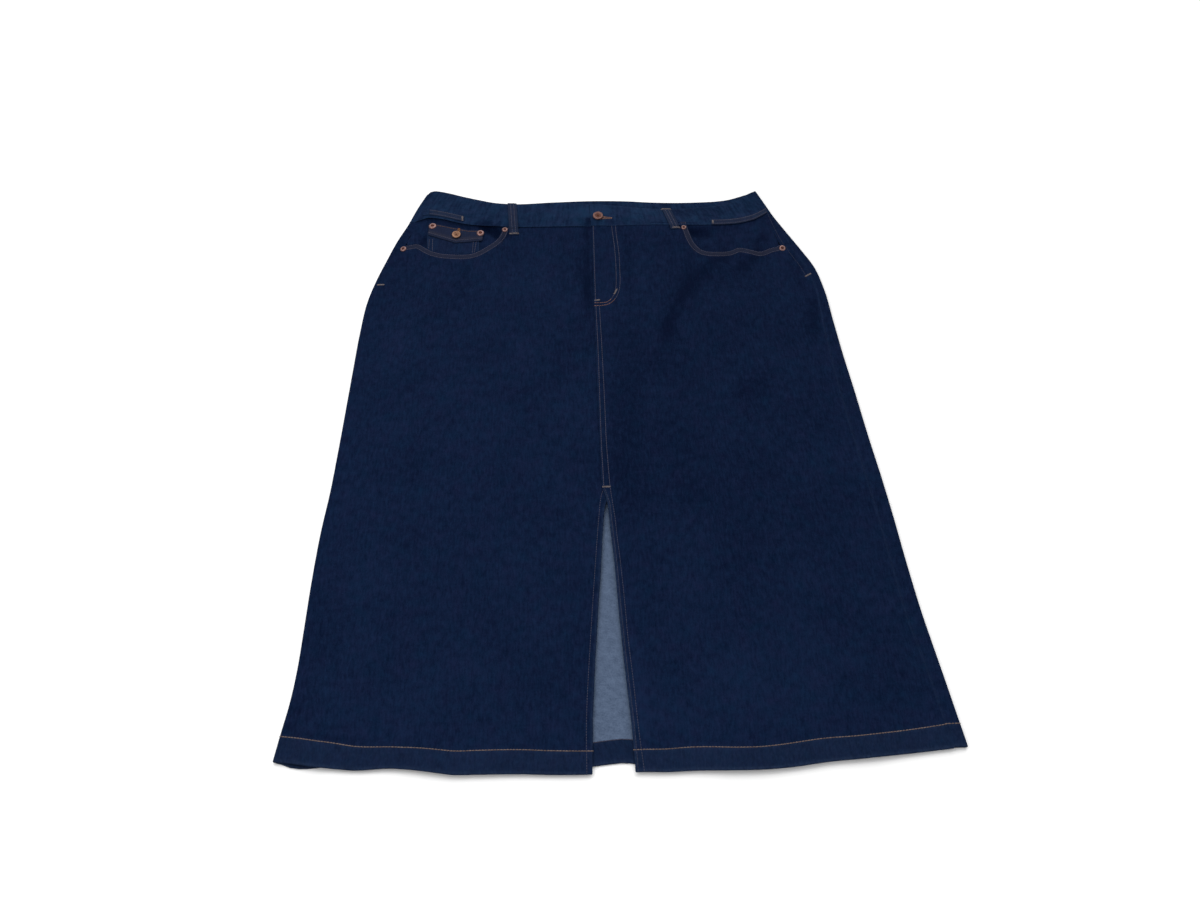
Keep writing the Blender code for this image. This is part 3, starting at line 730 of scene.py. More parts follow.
def normals(grid):
    return unit(np.cross(np.gradient(grid, axis=1), np.gradient(grid, axis=0)))


zipLow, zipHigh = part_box("fly_zip")
zipMiddle = (2 * mm, 740 * mm)  # middle of the zip tape in the skirt's own measures
shift = np.array([(zipLow[axis] + zipHigh[axis]) / 2 - zipMiddle[axis] for axis in (0, 1)] + [0.0])


# Patches and folds of painted shade: points, width, and how much darker. Paler ones are negative, painted light.
shades = {
    "hipDrag": ([(186, 737), (162, 717), (140, 694), (119, 667), (107, 642), (99, 612)], 11, 0.72),
    "hipDragLower": ([(98, 615), (92, 590), (80, 556)], 16, 0.3),
    "hipSecond": ([(238, 743), (224, 731), (210, 717)], 10, 0.75),
    "hipSide": ([(289, 732), (292, 708), (293, 689)], 6, 0.3),
    "hipFold": ([(309, 650), (306, 630), (301, 604)], 11, 0.6),
    "hipRidge": ([(315.5, 680), (317.5, 648), (318.5, 610)], 1.6, -0.4),
    "rightMiddle": ([(160, 720), (175, 600), (185, 450)], 110, 0.13),
    "pocketLeftTop": ([(140, 793), (161, 790), (178, 791)], 5, 0.3),
    "pocketLeft": ([(143, 783), (150, 781), (164, 780)], 7.5, 1.0),
    "pocketLeftSide": ([(246, 772), (237, 760), (246, 757)], 8, 0.5),
    "pocketLeftFold": ([(250, 785), (252, 772)], 5, 0.4),
    "flyLeft": ([(-11, 796), (-12, 730), (-13, 664)], 6, 0.7),
    "flyLeftLow": ([(-12, 700), (-12.5, 676), (-13, 645)], 6.5, 0.5),
    "flyRight": ([(45, 780), (48, 735), (47, 688)], 7, 0.22),
    "coinSide": ([(-249.5, 792), (-251, 786), (-254, 778)], 3.6, 1.2),
    "flapTop": ([(-246, 818), (-215, 811), (-178, 801)], 6, 0.15),
    "pocketWedge": ([(-162, 806), (-151, 801.5), (-143, 795), (-134, 788)], 7, 1.9),
    "lapEnd": ([(-9.6, 803), (-9.2, 815)], 4.5, 1.3),
    "lowerRight": ([(-385, 40), (-360, 120), (-345, 210)], 26, 0.16),
    "hemLeft": ([(-350, 46), (-322, 43), (-300, 39)], 4, 0.45),
    "besideSeam": ([(43, 595), (34, 496), (32, 403), (36, 343)], 24, 0.42),
    "rightBand": ([(69, 409), (144, 347), (249, 308)], 48, 0.26),
    "rightPatch": ([(195, 504), (231, 529)], 15, 0.42),
    "rightLow": ([(39, 59), (127, 68), (214, 102)], 60, -0.28),
    "slitRight": ([(30, 152), (34, 89), (36, 35)], 9, -0.35),
    "leftLow": ([(-309, 100), (-155, 47)], 45, -0.14),
    "darkPatchOne": ([(-188, 729), (-191, 686)], 8, 0.3),
    "darkPatchTwo": ([(-116, 768), (-111, 730)], 7, 0.25),
    "darkPatchThree": ([(-25, 757), (-22, 709)], 8, 0.25),
    "darkPatchFour": ([(137, 730), (128, 676)], 9, 0.25),
    "darkPatchFive": ([(-54, 589), (-60, 531)], 12, 0.16),
    "darkPatchSix": ([(-242, 457), (-244, 381)], 14, 0.14),
    "paleOne": ([(-73, 744), (-79, 686)], 9, -0.22),
    "paleTwo": ([(-147, 739), (-150, 688)], 8, -0.2),
    "paleThree": ([(65, 732), (67, 671)], 9, -0.2),
    "bandLap": ([(-6, 828), (14, 830)], 15, -0.85),
    "bandPale": ([(64, 832), (76, 834)], 12, -0.45),
    "bandDark": ([(128, 830), (182, 834)], 16, 0.5),
    "bandMiddle": ([(-60, 826), (-20, 826)], 14, -0.35),
}
shadeLines = [(smoothPath(points, 6 * mm), width * mm, share) for points, width, share in shades.values()]


# Painted shade at places, and painted light where the sum is negative.
def shadeAt(x, y):
    shade = 0
    for line, width, share in shadeLines:
        shade = shade + share * bell(distanceTo(line, x, y)[0], width)
    return np.clip(shade, -1, 1)


def clothShell(name, outer, thick, wear=0, dust=0, lined=None, grainFrom=0, rim=5):
    # A closed cloth wall: an outer grid, an inner one under it, and a rounded edge all round.
    rows, columns = outer.shape[:2]
    thick, wear, dust = [np.broadcast_to(values, (rows, columns)).astype(float) for values in (thick, wear, dust)]
    lined = np.zeros((rows - 1, columns - 1), int) if lined is None else lined
    normal = normals(outer)
    across, along = unit(np.gradient(outer, axis=1)), unit(np.gradient(outer, axis=0))
    inner = outer - normal * thick[..., None]
    u = np.cumsum(np.linalg.norm(np.diff(outer, axis=1, prepend=outer[:, :1]), axis=2), axis=1)
    if grainFrom is None:
        u = np.broadcast_to(u.mean(0), u.shape)  # the grain follows the columns
    else:
        u = u - u[:, grainFrom:grainFrom + 1] + outer[:, grainFrom:grainFrom + 1, 0]
    flat = np.stack([u, outer[..., 1]], -1)

    loop = [(0, i) for i in range(columns)] + [(j, columns - 1) for j in range(1, rows)]
    loop += [(rows - 1, i) for i in range(columns - 2, -1, -1)] + [(j, 0) for j in range(rows - 2, 0, -1)]
    j, i = np.array(loop).T
    away = np.zeros((len(loop), 3))
    away -= along[j, i] * (j == 0)[:, None]
    away += along[j, i] * (j == rows - 1)[:, None]
    away -= across[j, i] * (i == 0)[:, None]
    away += across[j, i] * (i == columns - 1)[:, None]
    away = unit(away)
    half = thick[j, i][:, None] / 2
    rings = [outer[j, i] - normal[j, i] * half * (1 - math.cos(turn)) + away * half * math.sin(turn)
             for turn in (math.pi * k / rim for k in range(1, rim))]

    count = rows * columns
    grid = np.arange(count).reshape(rows, columns)
    corners = [grid[:-1, :-1], grid[:-1, 1:], grid[1:, 1:], grid[1:, :-1]]
    outside = np.stack(corners, -1).reshape(-1, 4)
    inside = np.stack(corners[::-1], -1).reshape(-1, 4) + count
    ringIndex = [grid[j, i]] + [2 * count + k * len(loop) + np.arange(len(loop)) for k in range(rim - 1)]
    ringIndex.append(grid[j, i] + count)
    edges = [np.stack([a, b, np.roll(b, -1), np.roll(a, -1)], -1) for a, b in zip(ringIndex, ringIndex[1:])]
    faces = np.vstack([outside, inside, *edges])
    places = np.vstack([outer.reshape(-1, 3), inner.reshape(-1, 3), *rings]) + shift

    def perPlace(values):
        onRings = [values[j, i].reshape(len(loop), -1)] * (rim - 1)
        return np.concatenate([values.reshape(count, -1)] * 2 + onRings)

    mesh = bpy.data.meshes.new(name)
    mesh.from_pydata(places.tolist(), [], faces.tolist())
    slots = np.zeros(len(faces), int)
    slots[len(outside):2 * len(outside)] = lined.reshape(-1)
    mesh.polygons.foreach_set("material_index", slots)
    mesh.polygons.foreach_set("use_smooth", np.ones(len(faces), bool))
    layer = mesh.uv_layers.new(name="cloth")
    layer.uv.foreach_set("vector", perPlace(flat)[faces.reshape(-1)].astype(np.float32).ravel())
    # painted shade and light, kept to the upper layer, above 2.9 mm
    shade = shadeAt(outer[..., 0], outer[..., 1]) * (outer[..., 2] > 2.9 * mm)
    for key, values in (("wear", wear), ("dust", dust), ("shade", shade)):
        layer = mesh.attributes.new(key, "FLOAT", "POINT")
        layer.data.foreach_set("value", perPlace(values).astype(np.float32).ravel())
    mesh.update()
    made = bpy.data.objects.new(name, mesh)
    bpy.context.scene.collection.objects.link(made)
    return made


# ---- shader and geometry nodes

class Wire:
    # A socket that does maths: an expression on wires adds its Math nodes.
    def __init__(self, net, node, socket):
        self.net, self.node, self.socket = net, node, socket

    def out(self, name):
        return Wire(self.net, self.node, self.node.outputs[name])

    def maths(self, operation, first, second):
        return self.net.add("ShaderNodeMath", {"operation": operation}, {0: first, 1: second})

    def __add__(self, other):
        return self.maths("ADD", self, other)

    def __radd__(self, other):
        return self.maths("ADD", other, self)

    def __sub__(self, other):
        return self.maths("SUBTRACT", self, other)

    def __rsub__(self, other):
        return self.maths("SUBTRACT", other, self)

    def __mul__(self, other):
        return self.maths("MULTIPLY", self, other)

    def __rmul__(self, other):
        return self.maths("MULTIPLY", other, self)


class Net:
    def __init__(self, tree):
        self.tree = tree
        self.links = tree.links

    def add(self, kind, settings=None, sockets=None, out=0):
        node = self.tree.nodes.new(kind)
        for name, value in (settings or {}).items():
            setattr(node, name, value)
        for key, value in (sockets or {}).items():
            if isinstance(value, Wire):
                self.links.new(value.socket, node.inputs[key])
            else:
                node.inputs[key].default_value = value
        return Wire(self, node, node.outputs[out]) if node.outputs else None

    def mix(self, factor, first, second):
        sockets = {0: factor, 6: first, 7: second}
        return self.add("ShaderNodeMix", {"data_type": "RGBA"}, sockets, out=2)

    def sine(self, value):
        return self.add("ShaderNodeMath", {"operation": "SINE"}, {0: value})

    def clamp(self, value, low=0.0, high=1.0):
        sockets = {"Value": value, "From Min": low, "From Max": high}
        return self.add("ShaderNodeMapRange", {"interpolation_type": "SMOOTHSTEP"}, sockets)

    def noise(self, vector, scale, detail=2.0, roughness=0.5):
        sockets = {"Vector": vector, "Scale": scale, "Detail": detail, "Roughness": roughness}
        return self.add("ShaderNodeTexNoise", {}, sockets)


def shaderNet(name, roughness, metallic=0.0, specular=0.5, sheen=0.0):
    material = bpy.data.materials.new(name)
    material.use_nodes = True
    tree = material.node_tree
    shader = tree.nodes["Principled BSDF"]
    shader.inputs["Roughness"].default_value = roughness
    shader.inputs["Metallic"].default_value = metallic
    shader.inputs["Specular IOR Level"].default_value = specular
    shader.inputs["Sheen Weight"].default_value = sheen
    shader.inputs["Sheen Roughness"].default_value = 0.6
    return material, Net(tree), shader


def colour(values):
    return (*values, 1.0)


denimLook = {
    "lift": None,  # brings out the red, green and blue of its colours this much
    "dark": (0.00074, 0.0031, 0.0137),
    "light": (0.00444, 0.01125, 0.03515),
    "worn": (0.0163, 0.028, 0.0577),
    "dust": (0.0168, 0.0178, 0.0300),  # lint of the threads, rubbed into the cloth
    "hue": 0.8,  # how much its red wanders
    "streak": (0.34, 0.075, 1.25),  # how close the streaks are across and along, and how strong
    "patches": 1.1,
    "twill": 0.78,  # pitch of the twill's diagonals, in millimetres
    "ribs": 0.24,  # how plain they are
    "yarn": 0.42,
    "bump": 0.55,
    "roughness": 0.92,
    "specular": 0.03,
    "sheen": 0.0,
}


def denim(name, look):
    material, net, shader = shaderNet(name, look["roughness"], 0.0, look["specular"], look["sheen"])
    cloth = net.add("ShaderNodeUVMap", {"uv_map": "cloth"})
    part = net.add("ShaderNodeSeparateXYZ", {}, {0: cloth})
    u, v = part.out("X") * 1000.0, part.out("Y") * 1000.0
    wobble = net.noise(cloth, 90.0)
    twill = net.sine((u * 0.80 - v * 0.60) * (2 * math.pi / look["twill"]) + wobble * 9.0) * 0.5 + 0.5
    warpPlace = net.add("ShaderNodeCombineXYZ", {}, {"X": u * (1 / look["yarn"]), "Y": v * 0.12})
    warp = net.noise(warpPlace, 1.0, 2.0, 0.6)
    streakPlace = net.add("ShaderNodeCombineXYZ", {}, {"X": u * look["streak"][0], "Y": v * look["streak"][1]})
    streak = net.noise(streakPlace, 1.0, 3.0, 0.6)
    fleckPlace = net.add("ShaderNodeCombineXYZ", {}, {"X": u * 0.62, "Y": v * 0.40})
    fleck = net.noise(fleckPlace, 1.0, 2.0, 0.7)
    mottle = net.noise(cloth, 95.0, 4.0, 0.65)
    cloud = net.noise(cloth, 14.0, 2.0, 0.5)
    tone = (twill - 0.5) * look["ribs"] + (warp - 0.5) * 0.75
    tone = tone + (streak - 0.5) * look["streak"][2] + (fleck - 0.5) * 0.85
    # painted shade: the shade attribute darkens the tone, and lightens it as painted light where it is negative
    shaded = net.add("ShaderNodeAttribute", {"attribute_name": "shade"}, {}, out=2)
    tone = tone + (mottle - 0.5) * look["patches"] + (cloud - 0.5) * 0.55 + 0.5 - shaded * 0.6
    base = net.mix(net.clamp(tone, -0.25, 1.25), colour(look["dark"]), colour(look["light"]))
    hue = (net.noise(cloth, 34.0, 2.0) + net.noise(cloth, 88.0, 2.0) - 1.0) * look["hue"]
    tint = net.add("ShaderNodeCombineXYZ", {}, {"X": hue + 1.0, "Y": 1.0 - hue * 0.16, "Z": 1.0})
    base = net.add("ShaderNodeVectorMath", {"operation": "MULTIPLY"}, {0: base, 1: tint})
    if look["lift"]:
        base = net.add("ShaderNodeVectorMath", {"operation": "MULTIPLY"}, {0: base, 1: look["lift"]})
    worn = net.add("ShaderNodeAttribute", {"attribute_name": "wear"}, {}, out=2)
    dusty = net.add("ShaderNodeAttribute", {"attribute_name": "dust"}, {}, out=2)
    rubPlace = net.add("ShaderNodeCombineXYZ", {}, {"X": u * 0.45, "Y": v * 0.2})
    rub = net.noise(rubPlace, 1.0, 3.0, 0.7)
    amount = worn * (net.clamp((rub - 0.5) * 2.4 + 0.35, 0, 1.3) + warp * 0.6)
    shade = net.mix(amount, base, colour(look["worn"]))
    shade = net.mix(dusty * (net.clamp(rub, 0.2, 0.8) * 0.5 + 0.7), shade, colour(look["dust"]))
    net.links.new(shade.socket, shader.inputs["Base Color"])
    height = twill * 0.5 + warp * 0.8 + fleck * 0.8
    bump = net.add("ShaderNodeBump", {}, {"Strength": look["bump"], "Distance": 0.16 * mm, "Height": height})
    net.links.new(bump.socket, shader.inputs["Normal"])
    return material


wrongLook = {
    "dark": (0.0300, 0.0455, 0.0795),
    "light": (0.0850, 0.1176, 0.1830),
    "bump": 0.5,
}


def wrongSide(name, look):
    material, net, shader = shaderNet(name, 0.95, 0.0, 0.05)
    cloth = net.add("ShaderNodeUVMap", {"uv_map": "cloth"})
    part = net.add("ShaderNodeSeparateXYZ", {}, {0: cloth})
    u, v = part.out("X") * 1000.0, part.out("Y") * 1000.0
    twill = net.sine((u * 0.80 + v * 0.60) * (2 * math.pi / denimLook["twill"]) + net.noise(cloth, 90.0) * 9.0)
    weftPlace = net.add("ShaderNodeCombineXYZ", {}, {"X": u * 0.16, "Y": v * 1.3})
    weft = net.noise(weftPlace, 1.0, 3.0, 0.6)
    grain = net.noise(cloth, 520.0, 3.0, 0.7)
    mottle = net.noise(cloth, 120.0, 4.0, 0.6)
    tone = twill * 0.10 + (weft - 0.5) * 0.6 + (grain - 0.5) * 0.9 + (mottle - 0.5) * 0.9 + 0.55
    base = net.mix(net.clamp(tone, -0.1, 1.1), colour(look["dark"]), colour(look["light"]))
    net.links.new(base.socket, shader.inputs["Base Color"])
    height = twill * 0.3 + weft * 0.6 + grain * 0.4
    bump = net.add("ShaderNodeBump", {}, {"Strength": look["bump"], "Distance": 0.16 * mm, "Height": height})
    net.links.new(bump.socket, shader.inputs["Normal"])
    return material


def threadMaterial(name, dark, light):
    # Plied thread: fine slanting strands and an uneven dye.
    material, net, shader = shaderNet(name, 0.7, 0.0, 0.1)
    place = net.add("ShaderNodeTexCoord", out=3)
    strands = net.add("ShaderNodeTexWave", {"bands_direction": "DIAGONAL"},
                      {"Vector": place, "Scale": 900.0, "Distortion": 3.0, "Detail": 1.0})
    uneven = net.noise(place, 260.0, 3.0, 0.6)
    tone = net.clamp((strands - 0.5) * 0.5 + (uneven - 0.5) * 1.8 + 0.5)
    shade = net.mix(tone, colour(dark), colour(light))
    net.links.new(shade.socket, shader.inputs["Base Color"])
    bump = net.add("ShaderNodeBump", {}, {"Strength": 0.4, "Distance": 0.08 * mm, "Height": strands})
    net.links.new(bump.socket, shader.inputs["Normal"])
    return material


def copperMaterial(name, dark, light, roughness):
    # Antiqued copper: dull and dark in patches, brighter where it is rubbed.
    material, net, shader = shaderNet(name, roughness, 0.9, 0.5, 0.0)
    place = net.add("ShaderNodeTexCoord", out=3)
    patches = net.noise(place, 700.0, 4.0, 0.65)
    grain = net.noise(place, 4200.0, 2.0, 0.6)
    rubbing = net.add("ShaderNodeAttribute", {"attribute_name": "wear"}, {}, out=2)
    tone = net.clamp((patches - 0.5) * 0.9 + (grain - 0.5) * 0.4 + rubbing)
    shade = net.mix(tone, colour(dark), colour(light))
    net.links.new(shade.socket, shader.inputs["Base Color"])
    rough = (1 - tone) * 0.25 + (roughness - 0.1)
    net.links.new(rough.socket, shader.inputs["Roughness"])
    bump = net.add("ShaderNodeBump", {}, {"Strength": 0.35, "Distance": 0.1 * mm, "Height": grain + patches})
    net.links.new(bump.socket, shader.inputs["Normal"])
    return material


def tapeMaterial(name):
    material, net, shader = shaderNet(name, 0.85, 0.0, 0.15, 0.02)
    place = net.add("ShaderNodeTexCoord", out=3)
    weave = net.add("ShaderNodeTexWave", {"bands_direction": "Y"}, {"Vector": place, "Scale": 420.0, "Distortion": 1.0})
    shade = net.mix(weave, colour((0.008, 0.011, 0.022)), colour((0.017, 0.022, 0.042)))
    net.links.new(shade.socket, shader.inputs["Base Color"])
    bump = net.add("ShaderNodeBump", {}, {"Strength": 0.4, "Distance": 0.1 * mm, "Height": weave})
    net.links.new(bump.socket, shader.inputs["Normal"])
    return material


def plainMaterial(name, shade, roughness, specular):
    material, net, shader = shaderNet(name, roughness, 0.0, specular)
    place = net.add("ShaderNodeTexCoord", out=3)
    faint = net.noise(place, 30.0)
    tone = net.mix(faint, colour([value * 0.985 for value in shade]), colour(shade))
    net.links.new(tone.socket, shader.inputs["Base Color"])
    return material


bandLook = dict(denimLook, lift=(1.60, 1.64, 1.37), streak=(0.26, 0.035, 1.5), patches=1.5, ribs=0.05)
pocketLook = dict(denimLook, lift=(1.04, 1.0, 1.0))
bodyDenim = denim("bodyDenim", denimLook)
bandDenim = denim("bandDenim", bandLook)
pocketDenim = denim("pocketDenim", pocketLook)
paleInside = wrongSide("paleInside", wrongLook)
brownThread = threadMaterial("brownThread", (0.0226, 0.0236, 0.0395), (0.048, 0.049, 0.0805))
tanThread = threadMaterial("tanThread", (0.066, 0.053, 0.050), (0.142, 0.121, 0.120))
hemThread = threadMaterial("hemThread", (0.060, 0.040, 0.036), (0.148, 0.112, 0.102))
rustThread = threadMaterial("rustThread", (0.076, 0.042, 0.032), (0.165, 0.092, 0.074))
fadedThread = threadMaterial("fadedThread", (0.015, 0.019, 0.036), (0.034, 0.038, 0.066))
amberThread = threadMaterial("amberThread", (0.046, 0.026, 0.018), (0.100, 0.056, 0.038))
orangeThread = threadMaterial("orangeThread", (0.094, 0.036, 0.0134), (0.20, 0.084, 0.032))
rivetCopper = copperMaterial("rivetCopper", (0.081, 0.026, 0.020), (0.178, 0.106, 0.098), 0.52)
coinCopper = copperMaterial("coinCopper", (0.094, 0.034, 0.016), (0.170, 0.094, 0.060), 0.55)
buttonCopper = copperMaterial("buttonCopper", (0.077, 0.025, 0.014), (0.120, 0.064, 0.056), 0.58)
zipTape = tapeMaterial("zipTape")
print("materials done")

# ---- the panels

panelLook = {
    "hemDeep": 27 * mm,
    "slitTurn": 10.5 * mm,  # width of the turned-in edge of the slit
    "slitTurnTop": 340 * mm,
    "slitWearTop": 360 * mm,
    "hemWear": 0.55,
    "edgeWear": 0.5,
    "seamWear": 0.3,
    "pocketDust": 0.62,
}
hemSteps = (0, 0.6, 1.4, 2.6, 4.2, 6.2, 8.6, 11.2, 14, 16.8, 19.4, 21.6, 23.4, 24.8, 25.8, 26.5, 27.3, 28.4, 30,
            32.4, 35.6, 39.6)
topSteps = (0, 0.6, 1.4, 2.4, 3.6, 5, 6.4, 7.8, 9.4, 11.4, 14, 17.4, 21.6)
edgeSteps = (0, 0.6, 1.3, 2.0, 2.9, 4.0, 5.2, 6.4, 7.4, 8.3, 9.3, 10.4, 11.8, 14, 17.2)
flySteps = edgeSteps + (20, 22.6, 25, 27.4, 29.6, 31.6, 33.6, 35.4, 37.2, 39, 41, 43.2, 46)
foldAngles = list(range(180, -1, -15))


def ply(distance, deep):
    # 1 past a turned edge of this depth and 2 inside it, with a short step between.
    return 2 - ease((distance - deep) / (0.9 * mm))


def overlapUnderBand(x):
    seam = frontSeam(x)
    return band["overlap"] * ease((foldDistance(x, seam) - 4 * mm) / (10 * mm))


def panelTop(scoop, past):
    # The upper edge of a front: the pocket opening, or a little way up under the waistband.
    keys, values = scoop[:, 0], scoop[:, 1]
    order = np.argsort(keys)
    keys, values = keys[order], values[order]

    def at(x):
        seam = frontSeam(x) + overlapUnderBand(x)
        inside = x < keys[-1] if past < 0 else x > keys[0]
        return np.where(inside, np.minimum(np.interp(x, keys, values), seam), seam)

    return at


def frontWear(grid):
    up = hemPlace(grid[..., 0], grid[..., 1])
    worn = 0.9 * bell(up, 2.6 * mm) + 0.42 * (up < rowsOf["hemUp"]) + 0.35 * bell(up - rowsOf["hemUp"], 2 * mm)
    return panelLook["hemWear"] * worn


def pocketDust(grid, scoopLine):
    # Lint between the two rows of a pocket's edge.
    away = abs(distanceTo(scoopLine, grid[..., 0], grid[..., 1])[0])
    middle = (rowsOf["pocketIn"] + rowsOf["pocketOuter"]) / 2
    kept = ease((280 * mm - abs(grid[..., 0])) / (6 * mm)) * ease((rowsOf["underBand"] - grid[..., 1]) / (3 * mm))
    return panelLook["pocketDust"] * kept * bell(np.maximum(abs(away - middle) - 2.4 * mm, 0), 0.8 * mm)


def plies(grid, slitEdge, side):
    x, y = grid[..., 0], grid[..., 1]
    hem = ply(hemPlace(x, y), panelLook["hemDeep"])
    slit = ply(side * (x - slitEdge(y)), panelLook["slitTurn"])
    slit = 1 + (slit - 1) * (1 - ease((y - panelLook["slitTurnTop"]) / (10 * mm)))
    return np.maximum(hem, slit) * cut["cloth"]


def hemStretch(x):
    return hemUp(x) / rowsOf["hemUp"]


def rightFront():
    inset = [lambda y: outlineMin(y) + cut["underInset"]]
    rungs = ladder(0.36, (0.9, 2, 3.6, 6, 9, 13, 18), 3.4, edgeSteps)
    columns = onTable(inset) + roundFold(-1, foldAngles)
    columns += onSurface(between(topMin, underEdge, rungs), rightFrontHeight)
    rungs = ladder(0.85, hemSteps, 5.4, topSteps, (0.79, 2.6))
    grid = settle(columns, rungs, frontHem, panelTop(scoopRightLine, -1), hemStretch)
    x, y = grid[..., 0], grid[..., 1]
    slit = bell(underEdge(y) - x, 1.8 * mm) * (y < panelLook["slitWearTop"])
    wear = np.maximum(frontWear(grid), panelLook["edgeWear"] * slit)
    dust = pocketDust(grid, scoopRightLine)
    made = clothShell("rightFront", grid, plies(grid, underEdge, -1), wear, dust, grainFrom=len(columns) - 1)
    return made, grid


def leftFront():
    rungs = ladder(0.36, flySteps, 3.6, (0, 0.7, 1.6, 2.8, 4.4, 6.4, 9, 13, 18))
    end = lambda y: sideSeam(y) - cut["seamGap"]
    columns = onSurface(between(overEdge, end, rungs), leftFrontHeight)
    rungs = ladder(0.85, hemSteps, 5.4, topSteps, (0.79, 2.6))
    grid = settle(columns, rungs, frontHem, panelTop(scoopLeftLine, 1), hemStretch)
    x, y = grid[..., 0], grid[..., 1]
    slit = bell(x - overEdge(y), 2.6 * mm) * np.where(y < panelLook["slitWearTop"], 1.4, 0.3)
    wear = np.maximum(1.2 * frontWear(grid), panelLook["edgeWear"] * slit)
    wear = np.maximum(wear, panelLook["seamWear"] * bell(sideSeam(y) - x, 1.4 * mm))
    made = clothShell("leftFront", grid, plies(grid, overEdge, 1), wear, pocketDust(grid, scoopLeftLine))
    return made, grid


def backPanel():
    start = ladder(0.018, (0, 0.7, 1.6), 2.0, (0,))
    behind = ladder(0.75, (0.9, 3, 8), 9, (0, 0.9, 3, 8))
    edge = lambda y: outlineMin(y) + cut["underInset"] + cut["seamGap"]
    over = lambda x, y: topHeight(x, y) + 0.3 * mm * bell(x - sideSeam(y) - 1.5 * mm, 3 * mm)
    columns = onSurface(between(sideSeam, topMax, start), over)
    columns += roundFold(1, foldAngles[::-1][1:])
    columns += onTable(between(topMax, edge, mirrored(behind)))
    rungs = ladder(0.82, hemSteps, 6.0, (0, 0.7, 1.6, 3, 6))
    grid = settle(columns, rungs, backHem, backSeam)
    x, y = grid[..., 0], grid[..., 1]
    up = y - backHem(x)
    thick = ply(up, panelLook["hemDeep"]) * cut["cloth"]
    wear = bell(up, 2.6 * mm) + 0.4 * (up < rowsOf["hemUp"]) + 0.35 * bell(up - rowsOf["hemUp"], 2 * mm)
    seam = 0.6 * panelLook["seamWear"] * bell(x - sideSeam(y), 1.6 * mm) * (grid[..., 2] > 4 * mm)
    wear = np.maximum(panelLook["hemWear"] * wear, seam)
    middle = (up[:-1, :-1] + up[1:, 1:]) / 2
    made = clothShell("backPanel", grid, thick, wear, lined=(middle > panelLook["hemDeep"] + 0.6 * mm).astype(int))
    return made, grid


def mirrored(rungs):
    # The rungs of a ladder for columns that run towards -X.
    fromLow, fromHigh, share = rungs
    return -fromLow, -fromHigh, share


# The bottom of a bag, by how far in from its side.
BagEdge = namedtuple("BagEdge", "inward y")
bagEdge = [BagEdge(0, 730), BagEdge(18, 695), BagEdge(60, 668), BagEdge(110, 672), BagEdge(170, 715)]
bagLow = straight(bagEdge, "inward", "y")


def pocketFacing(name, side, scoop):
    # The facing that shows in an opening, and the bag that it runs down into.
    scoopEnd = scoop[0].y * mm + 0.6 * mm
    seamY = lambda x: frontSeam(x) + overlapUnderBand(x) - 0.4 * mm
    if side < 0:
        sideX = topMin
        columns = onTable([lambda y: outlineMin(y) + cut["underInset"]]) + roundFold(-1, foldAngles)
        level = [0.9, 2, 4, 6, 8, 10, 12]
    else:
        sideX = lambda y: sideSeam(y) - cut["seamGap"]
        columns = []
        level = [0, 0.7, 1.6, 3, 5, 7.5, 10, 12]
    columns += onSurface([lambda y, inset=inset * mm: sideX(y) - side * inset for inset in level], facingHeight)
    start = lambda y: sideX(np.maximum(y, scoopEnd)) - side * 13 * mm
    count = 44
    shares = [k / count for k in range(count + 1)]
    end = side * pocket["bagInnerX"]
    lows = [scoopEnd] * len(columns)
    columns += onSurface([lambda y, s=share: start(y) * (1 - s) + end * s for share in shares], facingHeight)
    reach = (float(start(np.array(0.0))) - end) * side
    lows += [float(bagLow(share * reach)) for share in shares]
    lowFunctions = [lambda x, low=low: x * 0 + low for low in lows]
    rungs = ladder(0.12, (0, 0.8, 2), 3.2, (0, 0.8, 2))
    grid = settle(columns, rungs, lowFunctions, seamY)
    if side > 0:
        grid = grid[:, ::-1]
    return clothShell(name, grid, cut["cloth"], grainFrom=grid.shape[1] - 1 if side < 0 else 0)


def patchGrid(xs, low, high, height, rows):
    x = np.broadcast_to(xs, (rows + 1, len(xs)))
    share = np.linspace(0, 1, rows + 1)[:, None]
    y = low(x) * (1 - share) + high(x) * share
    return np.stack([x, y, height(x, y)], -1)


def coinPieces():
    line = scoopRightLine[scoopRightLine[:, 0].argsort()]
    edge = lambda x: np.interp(x, line[:, 0], line[:, 1]) - pocket["coinTuck"]
    xs = np.linspace(*pocket["coinX"], 40)
    grid = patchGrid(xs, edge, lambda x: x * 0 + pocket["coinTop"], coinHeight, 22)
    inside = np.minimum(grid[..., 0] - xs[0], xs[-1] - grid[..., 0])
    coin = clothShell("coinPocket", grid, cut["cloth"], 0.18 + 0.4 * bell(inside, 1.6 * mm))
    grid = patchGrid(np.linspace(-244.5 * mm, -165.5 * mm, 46), flapLow, flapHigh, flapHeight, 16)
    up = grid[..., 1] - flapLow(grid[..., 0])
    dust = 0.36 + 0.5 * bell(up - 5.2 * mm, 3 * mm)
    flap = clothShell("coinFlap", grid, 1.5 * mm, 0.12 + 0.3 * bell(up, 1.8 * mm), dust)
    return coin, flap


